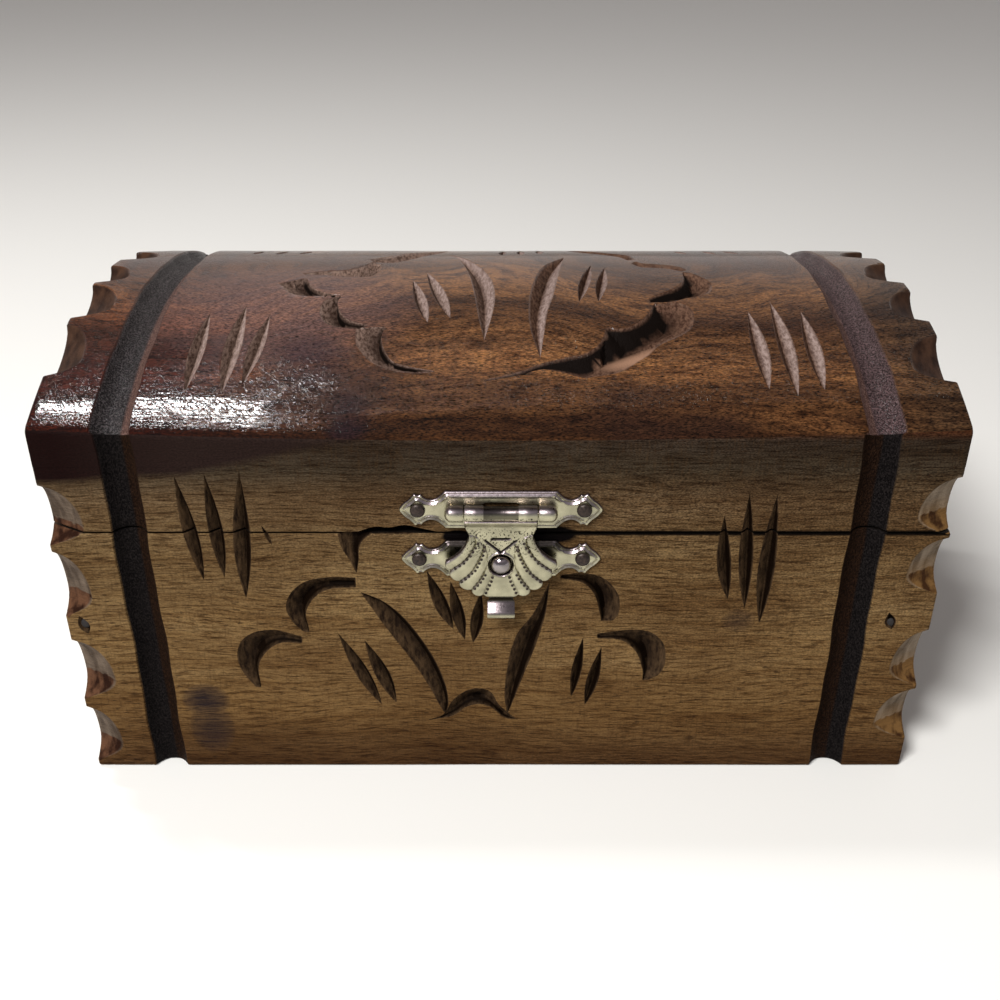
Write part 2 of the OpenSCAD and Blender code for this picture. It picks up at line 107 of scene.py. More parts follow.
# Straight gouge marks on the front: top x and height, bottom x and height, bulge left and right
front_marks = [
    (-62.2, 73.8, -59.4, 49.6, 1.5, 1.5),
    (-56.4, 74.3, -55.2, 50.2, 1.4, 1.6),
    (-49.6, 74.9, -51.4, 45.2, 2.0, 1.6),
    (44.0, 65.0, 46.6, 44.8, 2.0, 1.0),
    (48.4, 70.3, 50.2, 42.6, 1.7, 1.3),
    (53.8, 70.0, 53.6, 38.8, 1.9, 1.6),
    (-33.4, 36.6, -25.2, 17.5, 1.5, 1.5),
    (-28.0, 34.8, -22.0, 18.0, 1.5, 1.7),
    (17.5, 35.6, 15.4, 19.6, 1.1, 1.1),
    (21.4, 33.0, 18.4, 17.4, 1.2, 1.4),
    (-14.5, 52.0, -9.4, 37.5, 1.7, 1.3),
    (-9.8, 49.5, -7.1, 34.8, 1.5, 1.3),
    (-3.6, 47.0, -5.4, 34.0, 1.3, 1.4),
    # A slip of the tool, and the pits round the two nails
    (-46.6, 62.6, -44.9, 58.0, 0.45, 0.45),
    (-86.2, 40.9, -85.0, 36.3, 1.2, 1.2),
    (79.9, 41.7, 81.1, 37.4, 1.2, 1.2),
]
# Long leaves on the front, as left edge and right edge
front_leaves = [
    ([(-28.2, 46.9), (-23.7, 38.4), (-18.7, 29.9), (-15.2, 23), (-12.7, 17), (-11.5, 14.6)],
     [(-28.2, 46.9), (-23.4, 44.4), (-18.9, 39.6), (-14.4, 31.8), (-11.7, 24.4), (-10.8, 18.5),
      (-11.5, 14.6)]),
    ([(10.2, 49.3), (7.0, 41.6), (3.7, 36.4), (2.0, 29.9), (1.1, 21), (1.7, 14.4)],
     [(10.2, 49.3), (9.6, 41.6), (7.8, 33.8), (5.3, 25.8), (3.6, 20.2), (1.7, 14.4)]),
]
# Curved stop cuts on the front, as outer edge and inner edge; the inner wall is the steep one
front_crescents = [
    ([(-31.9, 61.0), (-31.3, 57.5), (-29.8, 54.3), (-28.6, 51.2)],
     [(-24.2, 61.0), (-26.4, 59.6), (-27.6, 57.6), (-28.0, 54.0), (-28.6, 51.2)]),
    ([(-28.8, 50.3), (-34.2, 50.4), (-38.9, 49.4), (-42.2, 46.6), (-43.6, 42.9), (-42.5, 39.3),
      (-40.6, 36.9)],
     [(-28.9, 47.9), (-34.4, 47.4), (-37.6, 45.2), (-39.5, 41.6), (-39.2, 37.6), (-39.4, 36.6)]),
    ([(-40.8, 35.6), (-46.2, 37.3), (-50.5, 36.8), (-53.6, 34.5), (-54.9, 30.5), (-54.2, 26.4),
      (-51.8, 22.2)],
     [(-40.9, 33.8), (-45.4, 33.9), (-48.6, 31.6), (-50.6, 27.8), (-50.6, 22.2)]),
    ([(12.2, 51.0), (17.4, 51.4), (21.5, 49.9), (24.3, 46), (24.6, 41.6), (23.4, 39.6)],
     [(12.3, 50.1), (16.9, 49.0), (19.4, 46), (20.6, 41.6), (21.0, 39.6)]),
    ([(20.3, 36.4), (26.3, 37.3), (31.1, 36.9), (34.3, 33.8), (35.0, 29.2), (34, 25.8),
      (31.8, 24.2)],
     [(20.3, 35.1), (25.4, 34.6), (28.6, 31.6), (30.2, 27.1), (30.4, 24.0)]),
    ([(-15.4, 13.3), (-12.1, 14.8), (-9.9, 18.8), (-7.1, 21.3), (-4.4, 22), (-1.7, 21),
      (0, 17.6), (3.6, 13.6)],
     [(-15.4, 13.1), (-10, 14.4), (-7.2, 16.7), (-4.4, 17.6), (-1.7, 16.7), (1.1, 13.9),
      (3.6, 13.4)]),
    # The split edge of the lid beside the hasp
    ([(-27.8, 61.2), (-24.4, 62.3), (-21.5, 62.1), (-18.6, 62.7), (-15.6, 62.0), (-12.4, 61.2)],
     [(-27.8, 60.8), (-24, 60.6), (-20, 60.5), (-15.6, 60.6), (-12.4, 60.8)]),
]
# Gouge marks on the arch: x and arc distance of the rear end and the front end, and bulges
arch_marks = [
    (-60.2, -17.0, -60.7, -42.6, 1.5, 1.7),
    (-53.2, -13.8, -53.6, -43.0, 1.8, 1.8),
    (-47.6, -17.6, -49.9, -40.5, 1.4, 1.7),
    (52.0, -16.2, 52.4, -41.9, 1.6, 1.8),
    (57.4, -11.9, 57.7, -43.7, 1.6, 1.8),
    (63.0, -16.2, 63.0, -42.3, 1.7, 1.7),
    (-19.0, 0.3, -14.7, -21.0, 1.4, 1.4),
    (-16.3, 6.2, -10.1, -19.3, 1.5, 1.5),
    (21.0, 11.6, 17.0, -12.0, 1.3, 1.3),
    (24.0, 9.4, 21.1, -11.9, 1.3, 1.3),
    (1.0, 34.5, 0.6, 25.0, 1.0, 1.0),
    (5.0, 35.5, 5.4, 25.0, 1.1, 1.1),
    (9.5, 36.5, 10.0, 27.0, 1.0, 1.0),
    (-58.0, 33.0, -59.0, 26.0, 1.0, 1.0),
    (-52.0, 33.5, -53.5, 25.5, 1.0, 1.0),
    (-46.0, 33.5, -48.0, 26.0, 1.0, 1.0),
    (43.0, 33.5, 45.0, 26.0, 1.0, 1.0),
    (50.0, 33.5, 52.0, 25.5, 1.0, 1.0),
    (55.0, 33.5, 57.5, 26.0, 1.0, 1.0),
]
arch_leaves = [
    ([(-11.8, 24.5), (-9.1, 16.8), (-6.7, 3.3), (-5.4, -7.9), (-4.4, -18), (-3.0, -27.8)],
     [(-11.8, 24.5), (-8.2, 19.2), (-4.2, 9.9), (-1.7, 0.9), (-0.8, -8.8), (-1.4, -18),
      (-3.0, -27.8)]),
    ([(15.4, 20.8), (10.0, 10.5), (7.2, -3.2), (6.2, -13.6), (6.4, -23.4), (8.2, -33.3)],
     [(15.4, 20.8), (13.3, 3.3), (11.7, -8.8), (10.2, -16.6), (9.3, -24.6), (8.2, -33.3)]),
]
# Stop cuts that outline the figure on the arch: outer edge, inner edge, valley place and depth
arch_crescents = [
    ([(-29.4, -23.2), (-28.9, -28.5), (-27.3, -31.9), (-25.3, -34.4), (-23, -35.8), (-19.9, -37),
      (-16.1, -37.4), (-12.6, -37.0)],
     [(-23.0, -22.6), (-23.8, -25.7), (-23.3, -29.3), (-22.3, -31.9), (-21.1, -33.9),
      (-19.2, -35.0), (-15.6, -36.0), (-12.6, -36.6)], 0.86, 3.4),
    ([(-37.3, -11.2), (-37.7, -15.5), (-36.9, -19.3), (-35.6, -21.4), (-33.9, -22.5),
      (-31.6, -23.0), (-28.8, -23.4)],
     [(-33.5, -8.8), (-34.2, -12.0), (-33.6, -14.9), (-32.7, -17.7), (-31.0, -19.9),
      (-28.8, -21.2), (-26.6, -21.9)], 0.86, 3.0),
    ([(-48.5, -2.0), (-45.8, -6.9), (-44.0, -8.6), (-41.6, -9.2), (-38.1, -9.2)],
     [(-42.6, 1.4), (-40.8, -3.6), (-39.1, -6.0), (-37.0, -7.6), (-33.6, -8.6)], 0.84, 2.8),
    ([(-44.2, 4.6), (-40.0, 6.2), (-34.4, 7.6), (-31.6, 10.4), (-29.2, 15.2)],
     [(-43.2, 3.6), (-39.8, 3.6), (-36.3, 2.7), (-32.8, 2.3), (-28.4, 2.9), (-26.4, 9.5)],
     0.8, 3.2),
    ([(-30.2, 17.0), (-26.6, 20.6), (-23, 26.5), (-17, 30.5), (-13, 35)],
     [(-28.6, 14.4), (-24.4, 14.2), (-21.2, 17.0), (-18.4, 21.0), (-14.4, 27.5), (-12.6, 33.5)],
     0.8, 2.8),
    ([(-3.2, -39.5), (3.7, -37.9), (8.2, -36.3), (12.2, -37.0), (16.7, -38.5), (19.4, -37.6),
      (21.8, -34.4)],
     [(-3.2, -39.0), (3.7, -36.8), (8.0, -34.6), (13.7, -32.6), (17.3, -31.4), (19.8, -28.9),
      (21.2, -25.4), (21.6, -22.4)], 0.4, 3.6),
    ([(18.6, -38.3), (23.8, -37.1), (29.4, -32.8), (32.6, -29.0), (37.2, -25.7), (39.9, -22.1),
      (40.6, -15.2), (37.8, -11.8), (33.4, -12.6)],
     [(21.4, -26.5), (21.8, -22.6), (24.2, -23.2), (26.7, -22.5), (29.3, -19.9), (31.3, -16.4),
      (32.4, -13.4)], 0.55, 3.8),
    ([(32.0, -12.2), (36.4, -12.0), (40.2, -10.1), (44.3, -8.4), (46.2, -5.2), (46.3, -1.2),
      (43.3, 4.2), (41.2, 5.6)],
     [(31.8, -10.4), (34.4, -7.9), (37.6, -5.2), (40.1, -1.2), (41.0, 3.6)], 0.6, 2.8),
    ([(42.4, 7.0), (40.6, 10.2), (36.6, 12.2), (33.4, 13.0), (31.6, 15.4)],
     [(41.0, 6.0), (38.6, 8.0), (35.4, 9.0), (32.2, 9.8), (30.4, 13.4)], 0.6, 2.4),
    ([(31.8, 18.0), (30.6, 23.5), (26.6, 27.5), (22.6, 32.0), (18.0, 36.0)],
     [(30.0, 16.6), (28.2, 21.0), (24.6, 24.6), (20.6, 28.5), (17.0, 33.5)], 0.6, 2.6),
]
mark_depth = 1.7
leaf_depth = 2.0
crescent_depth = 2.4

# Carved wood: distance between the mesh's points, points along an edge, rounding of the end
# edges, how far down the small marks of the tool go, and height of the slow waves
wood_spacing = 1.3
edge_points = 150
end_round = 0.5
tool_mark_reach = 0.12
face_waves = 0.07
arch_waves = 0.1


def rgb(red, green, blue):
    """A colour given in 0 to 255, as Blender's linear colour."""
    def linear(c):
        c = c / 255
        return c / 12.92 if c <= 0.04045 else ((c + 0.055) / 1.055) ** 2.4
    return (linear(red), linear(green), linear(blue), 1.0)


def smooth_line(points, step=0.5):
    """A smooth line through the points, with a point about every step."""
    p = np.array(points, float)
    around = np.vstack([2 * p[0] - p[1], p, 2 * p[-1] - p[-2]])
    parts = []
    for a, b, c, d in zip(around, around[1:], around[2:], around[3:]):
        count = max(2, math.ceil(np.linalg.norm(c - b) / step))
        u = np.arange(count)[:, None] / count
        bend = 2 * b + (c - a) * u + (2 * a - 5 * b + 4 * c - d) * u**2
        parts.append(0.5 * (bend + (3 * b - a - 3 * c + d) * u**3))
    parts.append(p[-1:])
    return np.vstack(parts)


def resampled(line, count):
    """The line again, with count points at even distances."""
    steps = np.linalg.norm(np.diff(line, axis=0), axis=1)
    along = np.concatenate([[0], np.cumsum(steps)])
    at = np.linspace(0, along[-1], count)
    return np.column_stack([np.interp(at, along, line[:, k]) for k in range(line.shape[1])])


def line_length(line):
    return np.linalg.norm(np.diff(line, axis=0), axis=1).sum()


def closed_line(points):
    return np.vstack([points, points[:1]])


def line_distance(points, line):
    """Distance of each point to a line of points."""
    a, b = line[:-1], line[1:]
    ab = b - a
    square = np.maximum((ab**2).sum(1), 1e-12)
    ap = points[:, None, :] - a[None]
    u = np.clip((ap * ab[None]).sum(2) / square, 0, 1)
    return np.sqrt(((ap - u[..., None] * ab[None]) ** 2).sum(2).min(1))


def within(points, outline):
    """Whether each point lies inside a closed outline."""
    x, y = points[:, 0][:, None], points[:, 1][:, None]
    ax, ay = outline[:, 0][None], outline[:, 1][None]
    bx, by = np.roll(outline[:, 0], -1)[None], np.roll(outline[:, 1], -1)[None]
    crosses = (ay > y) != (by > y)
    rise = np.where(by == ay, 1e-12, by - ay)
    return (crosses & (x < (bx - ax) * (y - ay) / rise + ax)).sum(1) % 2 == 1


def cut(edge_a, edge_b, depth, valley=0.55, steep=3.0, hollow=1.0, rows=(0.12, 0.3), stop=False):
    """A carved hollow between two edges. Its valley runs at the share `valley` of the way from
    edge a to edge b, and its walls are no steeper than `steep`. A stop cut's steep wall takes
    painted shade."""
    count = max(10, math.ceil(max(line_length(edge_a), line_length(edge_b)) / 0.55))
    a, b = resampled(edge_a, count), resampled(edge_b, count)
    shares = sorted({*rows, valley, *(1 - r for r in rows), (1 + valley) / 2, valley / 2})
    return {
        "a": a,
        "b": b,
        "outline": np.vstack([a, b[::-1]]),
        "rows": [a * (1 - v) + b * v for v in shares],
        "width": np.linalg.norm(a - b, axis=1).max(),
        "depth": depth,
        "valley": valley,
        "steep": steep,
        "hollow": hollow,
        "stop": stop,
    }


def gouge_mark(mark, depth, valley=0.6):
    """A straight, pointed gouge mark between its two ends, bulging to its left and right."""
    x0, y0, x1, y1, left, right = mark
    start, end = np.array([x0, y0]), np.array([x1, y1])
    along = end - start
    across = np.array([along[1], -along[0]]) / np.linalg.norm(along)
    u = np.linspace(0, 1, 40)[:, None]
    # The gouge enters gently and leaves steeply, so a mark is widest past its middle
    bulge = np.sin(np.pi * u**1.15) ** 0.9
    middle = start + along * u
    lean = -1 if across[0] > 0 else 1
    left_edge = middle + across * lean * left * bulge
    right_edge = middle - across * lean * right * bulge
    return cut(left_edge, right_edge, depth, valley=valley, steep=2.6)


def carved_depth(points, cuts, stop_wall=None, mark_wall=None):
    """Depth of the carving at each point of a face. The walls beyond the valleys are set to 1 in
    the array for their kind of cut."""
    depth = np.zeros(len(points))
    for c in cuts:
        low, high = c["outline"].min(0), c["outline"].max(0)
        near = np.where(((points >= low) & (points <= high)).all(1))[0]
        if not len(near):
            continue
        near = near[within(points[near], c["outline"])]
        if not len(near):
            continue
        q = points[near]
        to_a, to_b = line_distance(q, c["a"]), line_distance(q, c["b"])
        to_edge = line_distance(q, closed_line(c["outline"]))
        share = to_a / np.maximum(to_a + to_b, 1e-9)
        fall = np.where(share < c["valley"], share / c["valley"],
                        (1 - share) / (1 - c["valley"]))
        size = np.clip((to_a + to_b) / c["width"], 0, 1) ** 0.8
        here = np.minimum(c["depth"] * size * np.clip(fall, 0, 1) ** c["hollow"],
                          c["steep"] * to_edge)
        wall = stop_wall if c["stop"] else mark_wall
        if wall is not None:
            beyond = (share > c["valley"] + 0.01) * np.clip(to_edge / 0.12, 0, 1)
            wall[near] = np.where(here >= depth[near], beyond, wall[near])
        depth[near] = np.maximum(depth[near], here)
    return depth


def ripple(x, y):
    """Slow waves of a hand-planed face, from -1 to 1."""
    return (np.sin(x / 17 + 1.3) * np.cos(y / 13 + 0.4) + 0.6 * np.sin(x / 7.3 + y / 9.1 + 2.0)
            + 0.4 * np.cos(y / 4.7 - x / 23)) / 2


def tool_marks(x, y):
    """Small uneven facets that a gouge leaves in its cuts."""
    return 0.5 * np.sin(2.1 * y + 0.8 * np.sin(0.9 * x)) * np.sin(1.3 * x + 0.4)


def strap_wander(along, middle):
    """How far a strap groove strays from its middle line along its length."""
    return 0.16 * np.sin(along / 6.1 + middle) + 0.1 * np.sin(along / 2.3 + 2 * middle)


def groove_depth(x, middle, half_width, along):
    """Depth of a strap groove."""
    u = np.abs(x - middle - strap_wander(along, middle)) / half_width
    return strap_depth * np.maximum(0, 1 - u**2.4)


def groove_lines(straps, t0, t1):
    """Lines along the strap grooves' edges and floors, from t0 to t1."""
    t = np.arange(t0, t1 + 1.2, 1.2)
    lines = []
    for middle, half_width in straps:
        centre = middle + strap_wander(t, middle)
        for u in (-1, -0.9, -0.75, -0.55, -0.3, 0, 0.3, 0.55, 0.75, 0.9, 1):
            lines.append(np.column_stack([centre + u * half_width, t]))
    return lines


def scoop_notch(t, span):
    """How far a scoop cuts in at t, from 0 at its ends to 1 at its low point."""
    low, high = span
    deepest = low + scoop_low_point * (high - low)
    upper = 1 - np.sqrt(1 - np.clip((t - deepest) / (high - deepest), 0, 1) ** 2)
    lower = np.clip((deepest - t) / (deepest - low), 0, 1) ** 2.6
    inside = (t > low) & (t < high)
    return np.where(inside, 1 - np.where(t > deepest, upper, lower), 0)


def reach_of(side, k):
    """How far in from the end of a face a scoop reaches, a little different for each."""
    return scoop_reach * (1 + 0.1 * math.sin(2.7 * k + side))


def scoop_depth(x, t, left, right):
    """Depth of the scoops across the two ends of a face."""
    depth = np.zeros(len(x))
    for side, spans in ((-1, left), (1, right)):
        from_end = half_length - side * x
        for k, span in enumerate(spans):
            here = scoop_end * (scoop_notch(t, span) - from_end / reach_of(side, k))
            depth = np.maximum(depth, here)
    return depth


def scoop_ledge(x, t, left, right):
    """1 on the steep lower part of each scoop, and 0 elsewhere."""
    ledge = np.zeros(len(x))
    for side, spans in ((-1, left), (1, right)):
        near_end = half_length - side * x < scoop_reach * 1.1
        for low, high in spans:
            deepest = low + scoop_low_point * (high - low)
            ledge = np.where(near_end & (t > low) & (t < deepest), 1, ledge)
    return ledge


def scoop_lines(left, right):
    """Outlines of the scoops on the face, and lines across them."""
    lines = []
    for side, spans in ((-1, left), (1, right)):
        for k, (low, high) in enumerate(spans):
            t = np.linspace(low, high, 26)
            notch = scoop_notch(t, (low, high)) * reach_of(side, k)
            for share in (1, 0.8, 0.55, 0.3):
                lines.append(np.column_stack([side * (half_length - share * notch), t]))
    return lines


def end_lines(t0, t1):
    """Lines along the rounded end edges of a face."""
    t = np.arange(t0, t1 + 1, 1.0)
    inset = [side * (half_length - share) for side in (-1, 1) for share in (0.08, 0.22, 0.5)]
    return [np.column_stack([np.full(len(t), x), t]) for x in inset]


def cut_lines(cuts):
    """Lines along the edges, walls and valleys of the cuts."""
    return [line for c in cuts for line in (c["a"], c["b"], *c["rows"])]


def carved_face(flat, cuts):
    """Depth of the carving with its tool marks, and its walls in stop cuts and in the others."""
    stop_wall, mark_wall = np.zeros(len(flat)), np.zeros(len(flat))
    carved = carved_depth(flat, cuts, stop_wall, mark_wall)
    carved += np.minimum(carved, tool_mark_reach) * tool_marks(flat[:, 0], flat[:, 1])
    return carved, stop_wall, mark_wall


def edge_round(distance, radius):
    """Depth of a rounded edge at a distance from it."""
    d = np.clip(distance, 0, radius)
    return radius - np.sqrt(radius**2 - (radius - d) ** 2)


def triangulate(lines, low, high, spacing, clear=0.45):
    """Triangles over the rectangle from low to high, in which every line is a chain of edges."""
    points, edges = [], []

    def chain(line, closed=False):
        first = len(points)
        points.extend(line)
        edges.extend((first + i, first + i + 1) for i in range(len(line) - 1))
        if closed:
            edges.append((first + len(line) - 1, first))

    for line in lines:
        inside = ((line[:, 0] >= low[0]) & (line[:, 0] <= high[0])
                  & (line[:, 1] >= low[1] - 3) & (line[:, 1] <= high[1] + 3))
        if inside.any():
            chain(line)
    border_step = 0.7
    xs = np.linspace(low[0], high[0], math.ceil((high[0] - low[0]) / border_step))
    ts = np.linspace(low[1], high[1], math.ceil((high[1] - low[1]) / border_step))
    border = np.vstack([
        np.column_stack([xs, np.full(len(xs), low[1])])[:-1],
        np.column_stack([np.full(len(ts), high[0]), ts])[:-1],
        np.column_stack([xs[::-1], np.full(len(xs), high[1])])[:-1],
        np.column_stack([np.full(len(ts), low[0]), ts[::-1]])[:-1],
    ])
    chain(border, closed=True)
    tree = kdtree.KDTree(len(points))
    for i, p in enumerate(points):
        tree.insert((p[0], p[1], 0), i)
    tree.balance()
    rows = np.arange(low[1] + spacing / 2, high[1], spacing * 0.866)
    for k, t in enumerate(rows):
        for x in np.arange(low[0] + spacing * (0.5 + 0.5 * (k % 2)), high[0], spacing):
            if tree.find((x, t, 0))[2] > clear * spacing:
                points.append((x, t))
    found = delaunay_2d_cdt([Vector(p) for p in points], edges, [], 0, 1e-4, False)
    flat = np.array([tuple(v) for v in found[0]])
    triangles = np.array([f for f in found[2] if len(f) == 3])
    centre = flat[triangles].mean(1)
    edge = 1e-4
    kept = ((centre > np.array(low) - edge) & (centre < np.array(high) + edge)).all(1)
    return compacted(flat, triangles[kept])


def compacted(points, triangles):
    """Leaves out the points that no triangle uses."""
    used = np.unique(triangles)
    place = np.full(len(points), -1)
    place[used] = np.arange(len(used))
    return points[used], place[triangles]


def border_rows(flat, low, high):
    """Indices of the points on the four sides: low t, high t, low x and high x, each in order."""
    near = 2e-4
    bottom = np.where(np.abs(flat[:, 1] - low[1]) < near)[0]
    top = np.where(np.abs(flat[:, 1] - high[1]) < near)[0]
    left = np.where(np.abs(flat[:, 0] - low[0]) < near)[0]
    right = np.where(np.abs(flat[:, 0] - high[0]) < near)[0]
    return (bottom[np.argsort(flat[bottom, 0])], top[np.argsort(flat[top, 0])],
            left[np.argsort(flat[left, 1])], right[np.argsort(flat[right, 1])])


def placed(name, mesh, body, replaced=()):
    """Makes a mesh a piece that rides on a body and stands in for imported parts."""
    piece = bpy.data.objects.new(name, mesh)
    scene.collection.objects.link(piece)
    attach(piece, body)
    if replaced:
        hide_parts(*replaced)
    return piece


def finished(name, points, faces, materials, body, replaced, attributes=None, sharp=24,
             face_materials=None):
    """Makes a closed piece from points in millimetres, with the attributes its finish reads."""
    mesh = bpy.data.meshes.new(name)
    mesh.from_pydata((np.asarray(points) * MM).tolist(), [], [list(map(int, f)) for f in faces])
    for key, values in (attributes or {}).items():
        layer = mesh.attributes.new(key, "FLOAT", "POINT")
        layer.data.foreach_set("value", np.asarray(values, np.float32))
    for material in materials:
        mesh.materials.append(material)
    if face_materials is not None:
        mesh.polygons.foreach_set("material_index", np.asarray(face_materials, np.int32))
    work = bmesh.new()
    work.from_mesh(mesh)
    bmesh.ops.recalc_face_normals(work, faces=work.faces)
    work.to_mesh(mesh)
    work.free()
    mesh.shade_smooth()
    mesh.set_sharp_from_angle(angle=math.radians(sharp))
    return placed(name, mesh, body, replaced)


def face_carving():
    """The cuts of the front, in x and height."""
    cuts = [gouge_mark(m, mark_depth) for m in front_marks]
    for left, right in front_leaves:
        cuts.append(cut(smooth_line(left), smooth_line(right), leaf_depth, valley=0.62, steep=2.6))
    for outer, inner in front_crescents:
        cuts.append(cut(smooth_line(outer), smooth_line(inner), crescent_depth, valley=0.68,
                        steep=4.0, hollow=0.8, stop=True))
    return cuts


def arch_carving():
    """The cuts of the arch, in x and arc distance from the crown."""
    cuts = [gouge_mark(m, mark_depth, 0.4) for m in arch_marks]
    for left, right in arch_leaves:
        cuts.append(cut(smooth_line(left), smooth_line(right), leaf_depth, valley=0.45, steep=2.2))
    for outer, inner, valley, depth in arch_crescents:
        cuts.append(cut(smooth_line(outer), smooth_line(inner), depth, valley=valley, steep=4.5,
                        hollow=1.1, stop=True))
    return cuts


def face_board(name, side, z0, z1, y_in, cuts, soft_low, soft_high, body, replaced):
    """A board of a long face, from z0 to z1. Its outer face is carved, grooved and scooped."""
    low, high = (-half_length, z0), (half_length, z1)
    lines = [*groove_lines(front_straps, z0 - 1, z1 + 1), *scoop_lines(left_scoops, right_scoops),
             *end_lines(z0, z1), *cut_lines(cuts)]
    x = np.linspace(-half_length, half_length, edge_points)
    for rounding, edge, inward in ((soft_low, z0, 1), (soft_high, z1, -1)):
        for share in (0.12, 0.4, 1.0) if rounding else ():
            lines.append(np.column_stack([x, np.full(len(x), edge + inward * share * rounding)]))
    flat, triangles = triangulate(lines, low, high, wood_spacing)
    x, z = flat[:, 0], flat[:, 1]
    strap = sum(groove_depth(x, m, w, z) for m, w in front_straps)
    scoop = scoop_depth(x, z, left_scoops, right_scoops)
    ledge = scoop_ledge(x, z, left_scoops, right_scoops) * (scoop > 0.02)
    carved, stop_wall, mark_wall = carved_face(flat, cuts)
    depth = np.maximum.reduce([strap, scoop, carved]) + face_waves * (1 + ripple(x, z))
    depth += edge_round(half_length - np.abs(x), end_round)
    if soft_low:
        depth += edge_round(z - z0, soft_low)
    if soft_high:
        depth += edge_round(z1 - z, soft_high)
    points = np.column_stack([x, side * (half_depth - depth), z])
    bottom, top, left, right = border_rows(flat, low, high)
    chamfer = 0.5
    y_wall = y_in + side * chamfer
    corners = [(sx * half_length, y_wall, z) for z in (z0, z1) for sx in (-1, 1)]
    inset = half_length - chamfer
    back = [(sx * inset, y_in, z) for z in (z0 + chamfer, z1 - chamfer) for sx in (-1, 1)]
    n = len(points)
    points = np.vstack([points, corners, back])
    caps = [
        [*bottom, n + 1, n],
        [*top, n + 3, n + 2],
        [*left, n + 2, n],
        [*right, n + 3, n + 1],
        [n, n + 1, n + 5, n + 4],
        [n + 2, n + 3, n + 7, n + 6],
        [n, n + 2, n + 6, n + 4],
        [n + 1, n + 3, n + 7, n + 5],
        [n + 4, n + 5, n + 7, n + 6],
    ]
    rim_faces, inner_faces = 4, 5
    extra = np.zeros(8)
    return finished(
        name, points, [*triangles, *caps], [face_wood, raw_wood, end_wood], body, replaced,
        {
            "cut": np.concatenate([carved / crescent_depth, extra]),
            "wall": np.concatenate([np.maximum(stop_wall, mark_wall), extra]),
            "strap": np.concatenate([strap / strap_depth, extra]),
            "scoop": np.concatenate([scoop / scoop_end, extra]),
            "ledge": np.concatenate([ledge, extra]),
        },
        face_materials=[0] * len(triangles) + [2] * rim_faces + [1] * inner_faces)


def arch_place(x, t, depth):
    """Places a point of the slab's outside, where t runs up the front, over and down the back."""
    s = t - crease_z - half_arc
    beyond = np.abs(s) - half_arc
    side = np.where(s < 0, -1.0, 1.0)
    turn = np.clip(s, -half_arc, half_arc) / arch_radius
    y = arch_radius * np.sin(turn)
    z = arch_centre_z + arch_radius * np.cos(turn)
    normal_y, normal_z = np.sin(turn), np.cos(turn)
    wall = beyond > 0
    y = np.where(wall, side * half_depth, y)
    z = np.where(wall, crease_z - beyond, z)
    normal_y = np.where(wall, side, normal_y)
    normal_z = np.where(wall, 0, normal_z)
    # The crease is rounded along a curve that meets the wall and the arch
    q = (crease_round - beyond) / (2 * crease_round)
    rounded = np.abs(beyond) < crease_round
    end_turn = (half_arc - crease_round) / arch_radius
    low_y, low_z = half_depth, crease_z - crease_round
    high_y = arch_radius * math.sin(end_turn)
    high_z = arch_centre_z + arch_radius * math.cos(end_turn)
    round_y = (1 - q) ** 2 * low_y + 2 * q * (1 - q) * half_depth + q**2 * high_y
    round_z = (1 - q) ** 2 * low_z + 2 * q * (1 - q) * crease_z + q**2 * high_z
    angle = q * (math.pi / 2 - end_turn)
    y = np.where(rounded, side * round_y, y)
    z = np.where(rounded, round_z, z)
    normal_y = np.where(rounded, side * np.cos(angle), normal_y)
    normal_z = np.where(rounded, np.sin(angle), normal_z)
    # The front crease sags at its middle
    sag = crease_sag * np.maximum(0, 1 - (x / half_length) ** 2)
    share = np.where(beyond > 0, 1 - beyond / slab_edge, np.exp(-((beyond / sag_reach) ** 2)))
    z = z - np.where(s < 0, sag * share, 0)
    return np.column_stack([x, y - depth * normal_y, z - depth * normal_z])


